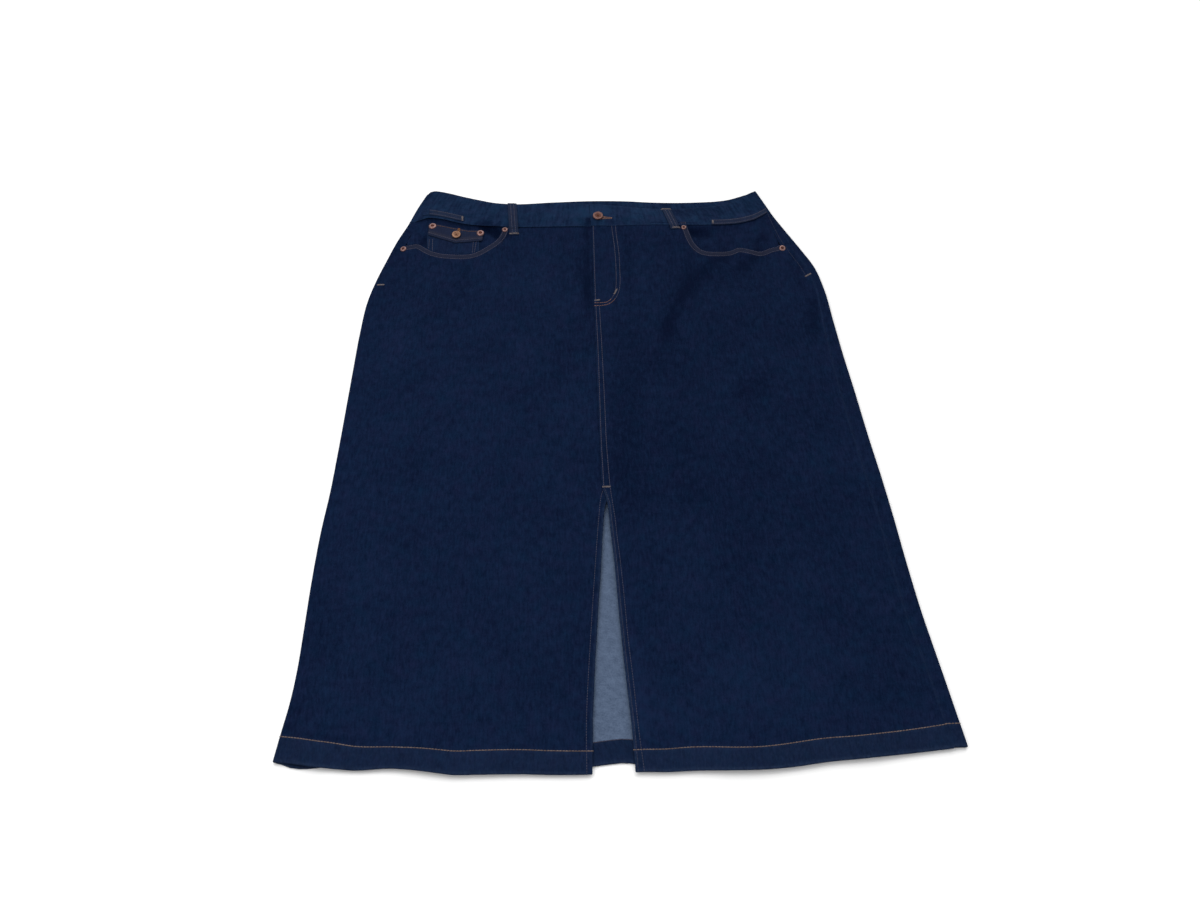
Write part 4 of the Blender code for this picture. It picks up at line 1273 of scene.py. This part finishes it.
def waistband():
    start = lambda y: y * 0 + band["lapEnd"]
    end = lambda y: y * 0 + band["underlapEnd"]
    over = between(start, topMax, ladder(0.27, (0, 0.8, 1.8, 3.2, 5), 3.6, (0.8, 2, 4)))
    under = between(topMin, end, ladder(0.3, (0.8, 1.8, 3, 4.4, 6, 8, 10.4), 3.6, (0, 0.6, 1.4, 3)))
    behind = between(topMax, topMin, mirrored(ladder(0.52, (0.8, 2.4), 6, (0.8, 1.8, 3, 4.4, 6, 8, 10.4))))
    lowRungs = ladder(0.045, (0, 0.6, 1.4, 2.6, 4.2), 2.8, (0, 0.6, 1.4, 2.6))
    fromCorner = lambda x: np.clip((x - outlineMin(frontTop(x))) / band["cornerRound"], 0, 1)
    lowered = lambda top: lambda x: top(x) - band["cornerDrop"] * (1 - np.sqrt(1 - (1 - fromCorner(x)) ** 2))
    parts = [
        (onSurface(over, overBand), frontSeam, frontTop),
        (roundFold(1, foldAngles[::-1], 0.3 * mm), frontSeam, frontTop),
        (onTable(behind), backSeam, lowered(backTop)),
        (roundFold(-1, foldAngles, 0.3 * mm), frontSeam, lowered(frontTop)),
        (onSurface(under, underBand), frontSeam, lowered(frontTop)),
    ]
    grids = []
    for columns, low, high in parts:
        grids.append(settle(columns, lowRungs, lambda x, low=low: low(x) + 0.8 * mm, high))
    grid = np.concatenate(grids, axis=1)
    x, y = grid[..., 0], grid[..., 1]
    isTop = np.concatenate([np.full(part.shape[:2], k in (0, 4)) for k, part in enumerate(grids)], axis=1)
    up = (y - frontSeam(x)) / (9 * mm)
    overlapping = isTop * ease((foldDistance(x, y) - 2 * mm) / (8 * mm))
    full = np.where(isTop * (x > band["lapEnd"] - 0.1 * mm), band["lapThick"], band["thick"])
    full = full + (band["thick"] - full) * ease((x - 10 * mm) / (30 * mm))
    thick = full - (full - band["edgeThick"]) * overlapping * (1 - ease(up - 0.35))
    down = frontTop(x) - y
    wear = 0.22 * bell(down, 1.8 * mm) + 0.25 * bell(y - frontSeam(x), 1.6 * mm)
    return clothShell("waistbandCloth", grid, thick, wear, grainFrom=None)


# Belt loops, from their bartack up over the waistband's top edge.
Loop = namedtuple("Loop", "name xLow xHigh yLow")
loops = [Loop("beltLoopRight", -118.4, -121.8, 788.6), Loop("beltLoopLeft", 119.2, 108.6, 788.6)]
loopLook = {"wide": 12.5 * mm, "thick": 1.0 * mm, "lift": 0.15 * mm, "bow": 0.4 * mm, "step": 4 * mm, "dust": 0.42}


def loopSurface(loop):
    ground = rightFrontHeight if loop.xLow < 0 else leftFrontHeight
    onBand = underBand if loop.xLow < 0 else overBand

    def at(x, y):
        x, y = np.broadcast_arrays(np.asarray(x, float), np.asarray(y, float))
        seam, top = frontSeam(x), frontTop(x)
        share = (y - loop.yLow * mm) / (top - loop.yLow * mm)
        climb = ease((y - seam + loopLook["step"]) / (3 * mm))
        rest = ground(x, np.minimum(y, seam)) * (1 - climb) + onBand(x, np.maximum(y, seam)) * climb
        rise = loopLook["bow"] * np.sin(np.clip(share, 0, 1) * math.pi) ** 0.6
        middle = (loop.xLow + (loop.xHigh - loop.xLow) * np.clip(share, 0, 1)) * mm
        crown = 1 - ((x - middle) / (loopLook["wide"] / 2)) ** 2
        return rest + loopLook["lift"] + loopLook["thick"] + rise + 0.25 * mm * np.clip(crown, 0, 1)

    return at


def beltLoop(loop):
    surface = loopSurface(loop)
    rows = 44
    across = np.array([-0.5, -0.44, -0.36, -0.26, -0.13, 0, 0.13, 0.26, 0.36, 0.44, 0.5]) * loopLook["wide"]
    grid = np.empty((rows + 1, len(across), 3))
    for k in range(rows + 1):
        share = k / rows
        middle = (loop.xLow + (loop.xHigh - loop.xLow) * share) * mm
        x = middle + across
        y = loop.yLow * mm + (frontTop(x) - loop.yLow * mm) * share
        grid[k] = np.stack([x, y, surface(x, y)], -1)
    # over the top edge and a little way down behind it
    radius = band["thick"] / 2 + loopLook["lift"] + loopLook["thick"]
    turned = []
    for angle in (20, 40, 60, 80, 100, 120, 140):
        turn = math.radians(angle)
        row = grid[-1].copy()
        row[:, 1] += radius * math.sin(turn)
        row[:, 2] -= radius * (1 - math.cos(turn))
        turned.append(row)
    grid = np.concatenate([grid, np.array(turned)])
    edge = loopLook["wide"] / 2 - abs(np.broadcast_to(across, grid.shape[:2]))
    return clothShell(loop.name, grid, loopLook["thick"], 0.15 * bell(edge, 1.3 * mm), loopLook["dust"])


# Tabs along the waist seam, by points of their lower edge from the -X end.
Tab = namedtuple("Tab", "name edge")
tabs = [
    Tab("sideTabRight", [(-255, 831.5), (-247, 831.4), (-240, 830), (-220, 824), (-205, 819), (-193, 815.4)]),
    Tab("sideTabLeft", [(173.5, 795.6), (186, 795.8), (203, 797.4), (220.5, 801), (238, 807.4), (250, 815.5),
                        (259.5, 823)]),
]
tabLook = {"wide": 10 * mm, "thick": 0.8 * mm, "dust": 0.42, "rowsFrom": -243}


def tabLow(tab):
    line = smoothPath(tab.edge)
    return lambda x: np.interp(x, line[:, 0], line[:, 1])


def tabSurface(tab):
    ground = overBand if tab.edge[0][0] > 0 else underBand
    low = tabLow(tab)

    def at(x, y):
        up = np.clip((y - low(x)) / tabLook["wide"], 0, 1)
        return ground(x, y) + tabLook["thick"] + 0.2 * mm + 0.3 * mm * np.sin(up * math.pi)

    return at


def sideTab(tab):
    xs = np.linspace(tab.edge[0][0], tab.edge[-1][0], 44) * mm
    low = tabLow(tab)
    grid = patchGrid(xs, low, lambda x: low(x) + tabLook["wide"], tabSurface(tab), 12)
    up = grid[..., 1] - low(grid[..., 0])
    wear = 0.3 * (bell(up, 1.6 * mm) + bell(tabLook["wide"] - up, 1.6 * mm)) + 0.06
    dust = tabLook["dust"] * ease((grid[..., 0] / mm - tabLook["rowsFrom"] + 6) / 12)
    return clothShell(tab.name, grid, tabLook["thick"], wear, dust)


rightPiece, rightGrid = rightFront()
leftPiece, leftGrid = leftFront()
backPiece, backGrid = backPanel()
bandPiece = waistband()
facingRight = pocketFacing("facingRight", -1, scoopRight)
facingLeft = pocketFacing("facingLeft", 1, scoopLeft)
coinPiece, flapPiece = coinPieces()
loopPieces = [beltLoop(loop) for loop in loops]
tabPieces = [sideTab(tab) for tab in tabs]
for piece in (rightPiece, leftPiece):
    piece.data.materials.append(bodyDenim)
backPiece.data.materials.append(bodyDenim)
backPiece.data.materials.append(paleInside)
for piece in (bandPiece, *loopPieces, *tabPieces):
    piece.data.materials.append(bandDenim)
for piece in (facingRight, facingLeft, coinPiece, flapPiece):
    piece.data.materials.append(pocketDenim)
print("cloth done")

# ---- stitches

stitchTree = {"strand": 6, "bends": 5}


def stitchNodes():
    # Lays one thread stitch after another along lines, each dipping into the cloth at its ends.
    tree = bpy.data.node_groups.new("laidStitches", "GeometryNodeTree")
    face = tree.interface
    face.new_socket("Geometry", in_out="INPUT", socket_type="NodeSocketGeometry")
    sizes = [("Pitch", 3 * mm), ("Length", 2.5 * mm), ("Radius", 0.3 * mm), ("Lift", 0.2 * mm), ("Turn", 0.0),
             ("Jitter", 0.05)]
    for name, value in sizes:
        face.new_socket(name, in_out="INPUT", socket_type="NodeSocketFloat").default_value = value
    face.new_socket("Seed", in_out="INPUT", socket_type="NodeSocketInt")
    face.new_socket("Thread", in_out="INPUT", socket_type="NodeSocketMaterial")
    face.new_socket("Geometry", in_out="OUTPUT", socket_type="NodeSocketGeometry")
    net = Net(tree)
    given = net.add("NodeGroupInput")
    line = net.add("GeometryNodeMeshToCurve", {}, {0: given.out("Geometry")})
    points = net.add("GeometryNodeCurveToPoints", {"mode": "LENGTH"}, {0: line, "Length": given.out("Pitch")})
    up = net.add("GeometryNodeInputNamedAttribute", {"data_type": "FLOAT_VECTOR"}, {"Name": "up"})
    chance = net.add("FunctionNodeRandomValue", {"data_type": "FLOAT"},
                     {2: -1.0, 3: 1.0, "Seed": given.out("Seed")}, out=1)
    along = net.add("FunctionNodeAlignRotationToVector", {"axis": "X"}, {"Vector": points.out("Tangent")})
    upright = net.add("FunctionNodeAlignRotationToVector", {"axis": "Z", "pivot_axis": "X"},
                      {"Rotation": along, "Vector": up})
    swing = net.add("FunctionNodeAxisAngleToRotation", {},
                    {"Axis": (0, 0, 1), "Angle": given.out("Turn") + chance * given.out("Jitter")})
    turned = net.add("FunctionNodeRotateRotation", {"rotation_space": "LOCAL"}, {0: upright, 1: swing})
    half = given.out("Length") * 0.5
    sunk = given.out("Radius") * -1.0
    first = net.add("ShaderNodeCombineXYZ", {}, {"X": half * -1.0, "Z": sunk})
    last = net.add("ShaderNodeCombineXYZ", {}, {"X": half, "Z": sunk})
    crown = net.add("ShaderNodeCombineXYZ", {}, {"Z": given.out("Lift") * 2.0 + given.out("Radius")})
    bow = net.add("GeometryNodeCurveQuadraticBezier", {},
                  {"Resolution": stitchTree["bends"], "Start": first, "Middle": crown, "End": last})
    ring = net.add("GeometryNodeCurvePrimitiveCircle", {}, {"Resolution": stitchTree["strand"],
                                                            "Radius": given.out("Radius")})
    strand = net.add("GeometryNodeCurveToMesh", {}, {0: bow, 1: ring, "Fill Caps": True})
    soft = net.add("GeometryNodeSetShadeSmooth", {}, {0: strand})
    laid = net.add("GeometryNodeInstanceOnPoints", {}, {"Points": points, "Instance": soft, "Rotation": turned})
    real = net.add("GeometryNodeRealizeInstances", {}, {0: laid})
    dyed = net.add("GeometryNodeSetMaterial", {}, {0: real, "Material": given.out("Thread")})
    net.add("NodeGroupOutput", {}, {0: dyed})
    return tree


laidStitches = stitchNodes()


def lineObject(name, runs):
    # Runs of places with the cloth's normals, as loose edges.
    places, ups, edges = [], [], []
    for run, normal in runs:
        first = len(places)
        places += (run + shift).tolist()
        ups += normal.tolist()
        edges += [(first + k, first + k + 1) for k in range(len(run) - 1)]
    mesh = bpy.data.meshes.new(name)
    mesh.from_pydata(places, edges, [])
    stored = mesh.attributes.new("up", "FLOAT_VECTOR", "POINT")
    stored.data.foreach_set("vector", np.array(ups, np.float32).ravel())
    made = bpy.data.objects.new(name, mesh)
    bpy.context.scene.collection.objects.link(made)
    return made


def stitched(name, runs, values, thread, seed):
    made = lineObject(name, runs)
    modifier = made.modifiers.new("Stitches", "NODES")
    modifier.node_group = laidStitches
    wanted = dict(values, Seed=seed, Thread=thread)
    for socket in laidStitches.interface.items_tree:
        if socket.in_out == "INPUT" and socket.name in wanted:
            modifier[socket.identifier] = wanted[socket.name]
    graph = bpy.context.evaluated_depsgraph_get()
    mesh = bpy.data.meshes.new_from_object(made.evaluated_get(graph))
    mesh.name = name
    made.modifiers.clear()
    made.data = mesh
    return made


def ground(*pieces):
    # The cloth of some pieces, to lay lines on.
    places, faces = [], []
    for piece in pieces:
        first = len(places)
        places += [vertex.co for vertex in piece.data.vertices]
        faces += [[first + k for k in face.vertices] for face in piece.data.polygons]
    return BVHTree.FromPolygons(places, faces)


def laidRow(line, tree):
    # A line dropped on the cloth, with the cloth's normals. Places that miss it are left out.
    places, ups = [], []
    for x, y in line:
        place, normal, _, _ = tree.ray_cast(Vector((x + shift[0], y + shift[1], 0.06)), Vector((0, 0, -1)))
        if place is not None:
            places.append(np.array(place) - shift)
            ups.append(normal)
    ups = np.array(ups)
    spread = np.array([0.25, 0.5, 0.25])
    if len(ups) > 4:
        padded = np.vstack([ups[:1], ups, ups[-1:]])
        ups = unit(sum(weight * padded[k:k + len(ups)] for k, weight in enumerate(spread)))
    return np.array(places), ups


def gridRow(grid, row, keep):
    # A row of a panel's own grid, such as its hem stitches, round a fold too.
    chosen = keep(grid[row])
    return grid[row][chosen], normals(grid)[row][chosen]


def bar(x0, y0, x1, y1, tree):
    return laidRow(resample(np.array([(x0, y0), (x1, y1)]) * mm, 0.5 * mm), tree)


onRight, onLeft, onBand = ground(rightPiece), ground(leftPiece), ground(bandPiece)
onCoin, onFlap = ground(coinPiece), ground(flapPiece)
onLoops = [ground(piece) for piece in loopPieces]
onTabs = [ground(piece) for piece in tabPieces]
onWaist = [ground(loopPieces[0], rightPiece), ground(loopPieces[1], leftPiece, bandPiece)]
onSide = ground(leftPiece, facingLeft)


topstitch = {
    "Pitch": 3.3 * mm,
    "Length": 3.0 * mm,
    "Radius": 0.46 * mm,
    "Lift": 0.16 * mm,
    "Turn": 0.0,
    "Jitter": 0.05,
}
slitStitch = dict(topstitch, Length=2.4 * mm, Radius=0.42 * mm)
fineStitch = dict(topstitch, Radius=0.37 * mm)
faintStitch = dict(topstitch, Radius=0.25 * mm)
hemStitch = dict(topstitch, Pitch=3.6 * mm, Length=3.35 * mm, Radius=0.64 * mm, Lift=0.2 * mm, Jitter=0.06)
# these two lie close together, square to their line
bartack = {
    "Pitch": 0.55 * mm,
    "Length": 2.3 * mm,
    "Radius": 0.3 * mm,
    "Lift": 0.3 * mm,
    "Turn": math.pi / 2,
    "Jitter": 0.12,
}
satin = dict(bartack, Pitch=0.5 * mm, Length=1.6 * mm, Radius=0.24 * mm, Lift=0.25 * mm, Jitter=0.1)


def betweenRivets(line, end):
    # The stretch of a pocket row between the side rivet and the inner one.
    return line[(abs(line[:, 0]) < abs(end) * mm) & (line[:, 1] < rowsOf["underBand"])]


def pocketStitches():
    rightEnd, leftEnd = rowsOf["pocketEnds"]
    runs = [laidRow(betweenRivets(row, rightEnd), onRight) for row in pocketRowsRight]
    runs += [laidRow(betweenRivets(row, leftEnd), onLeft) for row in pocketRowsLeft]
    return stitched("pocketStitching", runs, topstitch, brownThread, 1)


def flyStitches():
    sides = [row[row[:, 1] > rowsOf["flyFoot"]] for row in (flyCurve, flyInner)]
    runs = [laidRow(resample(row, 2 * mm), onLeft) for row in (*sides, flyEdgeRow, seamUnderRow, seamOverRow)]
    return stitched("frontStitching", runs, topstitch, brownThread, 2)


def flyFootStitches():
    runs = [laidRow(resample(row[row[:, 1] < rowsOf["flyFoot"]], 2 * mm), onLeft) for row in (flyCurve, flyInner)]
    return stitched("flyFootStitching", runs, topstitch, rustThread, 13)


def slitStitches():
    runs = [laidRow(slitUnderRow, onRight), laidRow(slitOverRow, onLeft)]
    return stitched("slitStitching", runs, slitStitch, brownThread, 10)


def slitEdgeStitches():
    return stitched("slitEdgeStitching", [laidRow(slitEdgeRow, onLeft)], faintStitch, brownThread, 14)


def hemStitches():
    row = hemSteps.index(26.5)
    runs = []
    for grid in (rightGrid, leftGrid):
        runs.append(gridRow(grid, row, lambda places: places[:, 2] > 1.2 * mm))
    around = gridRow(backGrid, row, lambda places: (places[:, 0] > 0.3) & (places[:, 2] > 1.2 * mm))
    runs.append(around)
    return stitched("hemStitching", runs, hemStitch, hemThread, 3)


def backHemStitches():
    # Seen on the inside of the back, in the slit.
    row = hemSteps.index(26.5)
    places, normal = gridRow(backGrid, row, lambda places: (abs(places[:, 0]) < 45 * mm) & (places[:, 2] < mm))
    runs = [(places - normal * 2 * cut["cloth"], -normal)]
    return stitched("backHemStitching", runs, hemStitch, brownThread, 11)


def loopStitches():
    runs = []
    for loop, tree in zip(loops, onLoops):
        for side in (-1, 1):
            aside = side * (loopLook["wide"] / 2 - rowsOf["loopIn"]) / mm
            low, high = (loop.xLow + aside, loop.yLow + 1.5), (loop.xHigh + aside, frontTop(loop.xHigh * mm) / mm)
            runs.append(laidRow(resample(np.array([low, high]) * mm, 2 * mm), tree))
    for tab, tree in zip(tabs, onTabs):
        low = tabLow(tab)
        xs = np.linspace(max(tab.edge[0][0] + 2, tabLook["rowsFrom"]), tab.edge[-1][0] - 2, 50) * mm
        for up in (rowsOf["tabIn"], tabLook["wide"] - rowsOf["tabIn"]):
            runs.append(laidRow(np.stack([xs, low(xs) + up], -1), tree))
    return stitched("bandStitching", runs, topstitch, brownThread, 4)


def coinStitches():
    runs = []
    for x, lean in ((-243.2, -0.6), (-238.4, 0.4), (-178.2, -1), (-173.4, -3)):
        runs.append(laidRow(resample(np.array([(x, 784), (x + lean, 760)]) * mm, 2 * mm), onCoin))
    xs = np.linspace(-243.5, -166.5, 60) * mm
    runs.append(laidRow(np.stack([xs, flapLow(xs) + 3.4 * mm], -1), onFlap))
    return stitched("coinStitching", runs, topstitch, brownThread, 5)


def flapTopStitches():
    xs = np.linspace(-240, -168, 50) * mm
    runs = [laidRow(np.stack([xs, flapHigh(xs) - 2.2 * mm], -1), onFlap)]
    return stitched("flapTopStitching", runs, fineStitch, amberThread, 6)


def sideStitches():
    return stitched("sideStitching", [laidRow(sideRow, onSide)], faintStitch, fadedThread, 7)


def bartacks():
    runs = [
        bar(-125, 790.2, -111.6, 790.6, onWaist[0]),
        bar(115.6, 790.4, 126.3, 790.4, onWaist[1]),
        bar(101.8, 833.6, 116, 833.4, onWaist[1]),
        bar(-195.4, 824.6, -195.1, 816.2, onTabs[0]),
        bar(176, 804, 175.6, 797, onTabs[1]),
        bar(25.2, 676, 29.2, 684.6, onLeft),
        bar(-3, 664.8, 4.2, 665.4, onLeft),
        bar(-2, 364.2, 8.6, 364.2, onLeft),
        bar(302.5, 701.2, 311.2, 706.4, ground(leftPiece, backPiece)),
        bar(-315.2, 705.5, -305.3, 705.5, onRight),
    ]
    return stitched("bartacks", runs, bartack, tanThread, 8)


def waistHoleStitches():
    # A keyhole that tapers away from the button.
    edges = [[(9, 818), (14, 817), (20, 815.6), (26.6, 814.9)], [(9, 812.4), (14, 812.8), (20, 813.4), (26.6, 813.8)]]
    runs = [laidRow(smoothPath(edge, 0.6 * mm), onBand) for edge in edges]
    runs.append(laidRow(smoothPath([(9, 815.2), (17, 814.8)], 0.6 * mm), onBand))
    return stitched("waistButtonhole", runs, satin, rustThread, 9)


def flapHoleStitches():
    flapHole = smoothPath([(-200.9, 805), (-200.9, 795), (-199.2, 795), (-199.2, 805)], 0.6 * mm)
    return stitched("flapButtonhole", [laidRow(flapHole, onFlap)], satin, orangeThread, 12)


threadPieces = [pocketStitches(), flyStitches(), flyFootStitches(), slitStitches(), slitEdgeStitches(),
                hemStitches(), backHemStitches(), loopStitches(), coinStitches(), flapTopStitches(),
                sideStitches(), bartacks(), waistHoleStitches(), flapHoleStitches()]
print("stitches done")

# ---- turned hardware

Fitting = namedtuple("Fitting", "node kind x y size tree")
fittings = [
    Fitting("waist_button", "button", 6, 816.8, 0.93, onBand),
    Fitting("coin_button", "smallButton", -203.4, 789.7, 0.94, onFlap),
    Fitting("rivet_right_side", "rivet", -281, 769.7, 1, onRight),
    Fitting("rivet_right_inner", "rivet", -132, 798.6, 0.95, onRight),
    Fitting("rivet_left_inner", "rivet", 131.8, 790.2, 0.82, onLeft),
    Fitting("rivet_left_side", "rivet", 274.9, 753.8, 1.02, onLeft),
    Fitting("flap_rivet_outer", "rivet", -239.2, 809.3, 1.22, onFlap),
    Fitting("flap_rivet_inner", "rivet", -168.1, 793.2, 1.18, onFlap),
]
# Outer profiles as (radius, height) in millimetres, from the top centre down to the cloth.
profiles = {
    "button": [(0, 1.5), (0.5, 1.5), (0.9, 1.8), (1.3, 2.35), (1.8, 2.5), (2.4, 2.1), (2.9, 1.6), (3.6, 1.5),
               (4.2, 1.8), (4.7, 2.5), (5.1, 2.65), (5.5, 2.5), (6.1, 2.7), (6.8, 3.15), (7.4, 3.15), (7.9, 2.75),
               (8.15, 2.2), (8.05, 1.6), (7.5, 1.2), (4.2, 1.0), (4.0, 0.3), (4.0, -0.4), (0, -0.4)],
    "smallButton": [(0, 1.5), (0.5, 1.5), (0.8, 1.9), (1.2, 2.4), (1.7, 2.5), (2.2, 2.1), (3.0, 1.8), (3.8, 2.0),
                    (4.3, 2.4), (4.8, 2.35), (5.5, 2.75), (6.2, 2.75), (6.8, 2.3), (7.0, 1.7), (6.6, 1.15),
                    (3.6, 0.9), (3.4, 0.2), (3.4, -0.4), (0, -0.4)],
    "rivet": [(0, 0.7), (0.4, 0.75), (0.8, 0.65), (1.1, 0.35), (1.4, 0.2), (1.8, 0.3), (2.15, 1.0), (2.5, 1.5),
              (3.0, 1.55), (3.6, 1.3), (4.2, 0.9), (4.6, 0.4), (4.75, 0.0), (4.7, -0.3), (0, -0.3)],
}
# How bright each kind is rubbed at these radii.
rubbedRings = {
    "button": ((0, 1.0, 1.8, 2.8, 4.2, 5.0, 6.0, 7.2, 8.1), (0.0, 0.05, 0.3, 0.5, 0.5, 0.7, 0.75, 0.95, 0.6)),
    "smallButton": ((0, 1.0, 1.8, 3.0, 4.2, 5.4, 6.6, 7.0), (0.35, 0.3, 0.5, 0.6, 0.7, 0.9, 0.95, 0.5)),
    "rivet": ((0, 1.6, 2.0, 2.4, 3.0, 4.2, 4.7), (0.0, 0.0, 0.3, 0.9, 1.0, 0.8, 0.4)),
}
hardware = {"turnSteps": 48, "lift": 0.05 * mm}


def turned(name, kind, size):
    # A profile swept round Z with Spin.
    mesh = bpy.data.meshes.new(name)
    net = bmesh.new()
    line = [net.verts.new((radius * size * mm, 0, height * mm)) for radius, height in profiles[kind]]
    edges = [net.edges.new(pair) for pair in zip(line, line[1:])]
    bmesh.ops.spin(net, geom=line + edges, cent=(0, 0, 0), axis=(0, 0, 1), angle=2 * math.pi,
                   steps=hardware["turnSteps"], use_merge=True)
    bmesh.ops.remove_doubles(net, verts=net.verts, dist=0.001 * mm)
    bmesh.ops.recalc_face_normals(net, faces=net.faces)
    # raised rings are rubbed bright and hollows stay dark
    worn = net.verts.layers.float.new("wear")
    for vertex in net.verts:
        radius = math.hypot(vertex.co.x, vertex.co.y) / mm / size
        vertex[worn] = float(np.interp(radius, *rubbedRings[kind]))
    net.to_mesh(mesh)
    net.free()
    mesh.shade_smooth()
    return mesh


def seated(name, rows, material):
    # Copies of a turned piece, each square on the cloth under it, joined into one mesh.
    net = bmesh.new()
    for row in rows:
        template = turned(row.node, row.kind, row.size)
        place, normal = laidRow(np.array([(row.x, row.y)]) * mm, row.tree)
        turn = Vector(normal[0]).to_track_quat("Z", "Y").to_matrix().to_4x4()
        turn.translation = Vector(place[0] + shift + normal[0] * hardware["lift"])
        template.transform(turn)
        net.from_mesh(template)
        bpy.data.meshes.remove(template)
    mesh = bpy.data.meshes.new(name)
    net.to_mesh(mesh)
    net.free()
    mesh.shade_smooth()
    mesh.materials.append(material)
    made = bpy.data.objects.new(name, mesh)
    bpy.context.scene.collection.objects.link(made)
    return made


waistButton = seated("waistButton", fittings[:1], buttonCopper)
coinButton = seated("coinButton", fittings[1:2], coinCopper)
rivets = seated("rivets", fittings[2:], rivetCopper)
print("hardware done")

# ---- what each piece stands for

wholeBody = "root"
stands = [
    (rightPiece, "front_right", "denim"),
    (leftPiece, "front_left", "denim"),
    (backPiece, "back_panel", "denim"),
    (bandPiece, "waistband", "waistband_denim"),
    (facingRight, "pocket_bag_right", "pocket_denim"),
    (facingLeft, "pocket_bag_left", "pocket_denim"),
    (coinPiece, "coin_pocket", "pocket_denim"),
    (flapPiece, "coin_flap", "pocket_denim"),
    (loopPieces[0], "belt_loop_right", "waistband_denim"),
    (loopPieces[1], "belt_loop_left", "waistband_denim"),
    (tabPieces[0], "side_tab_right", "waistband_denim"),
    (tabPieces[1], "side_tab_left", "waistband_denim"),
    (waistButton, "waist_button", "copper"),
    (coinButton, "coin_button", "copper"),
]
for piece, node, slot in stands:
    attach(piece, wholeBody)
    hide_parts(node)
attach(rivets, wholeBody)
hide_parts(*[row.node for row in fittings[2:]])
for piece in threadPieces:
    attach(piece, wholeBody)
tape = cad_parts["fly_zip"]
tape.data.materials.clear()
tape.data.materials.append(zipTape)

# ---- stage, camera and light

stage = {
    "floor": 0.83,
    "cameraPlace": (-27.65 * mm, -374.1 * mm, 1383 * mm),  # in the skirt's own measures
    "cameraTilt": 30.0,
    "cameraYaw": -1.77,
    "lens": 36.0,
    "sky": 0.84,
    "key": 1.8,
    "keySoftness": 55.0,
    "keyFrom": (0.14, 0.78, 0.72),
    "fill": 6.0,
    "fillSize": 0.7,
    "fillFrom": (-750 * mm, 450 * mm, 1100 * mm),
}
floorMesh = bpy.data.meshes.new("floor")
floorNet = bmesh.new()
bmesh.ops.create_grid(floorNet, x_segments=1, y_segments=1, size=6)
bmesh.ops.translate(floorNet, verts=floorNet.verts, vec=(0, 0, -0.3 * mm))
floorNet.to_mesh(floorMesh)
floorNet.free()
floor = bpy.data.objects.new("floor", floorMesh)
bpy.context.scene.collection.objects.link(floor)
floorMesh.materials.append(plainMaterial("paleFloor", [stage["floor"]] * 3, 0.9, 0.1))

cameraData = bpy.data.cameras.new("camera")
cameraData.lens = stage["lens"]
cameraData.sensor_width = 36
camera = bpy.data.objects.new("camera", cameraData)
bpy.context.scene.collection.objects.link(camera)
camera.location = Vector(stage["cameraPlace"]) + Vector(shift)
camera.rotation_euler = (math.radians(stage["cameraTilt"]), 0, math.radians(stage["cameraYaw"]))
bpy.context.scene.camera = camera

world = bpy.data.worlds.new("studio")
world.use_nodes = True
world.node_tree.nodes["Background"].inputs["Color"].default_value = (1, 1, 1, 1)
world.node_tree.nodes["Background"].inputs["Strength"].default_value = stage["sky"]
bpy.context.scene.world = world

keyLight = bpy.data.lights.new("key", "SUN")
keyLight.energy = stage["key"]
keyLight.angle = math.radians(stage["keySoftness"])
key = bpy.data.objects.new("key", keyLight)
bpy.context.scene.collection.objects.link(key)
key.rotation_euler = Vector(stage["keyFrom"]).to_track_quat("Z", "Y").to_euler()
fillLight = bpy.data.lights.new("fill", "AREA")
fillLight.energy = stage["fill"]
fillLight.size = stage["fillSize"]
fill = bpy.data.objects.new("fill", fillLight)
bpy.context.scene.collection.objects.link(fill)
fill.location = Vector(stage["fillFrom"]) + Vector(shift)
fill.rotation_euler = (Vector(stage["fillFrom"]) - Vector((0, 450 * mm, 0))).to_track_quat("Z", "Y").to_euler()
bpy.context.scene.view_settings.view_transform = "Standard"
print("stage done")
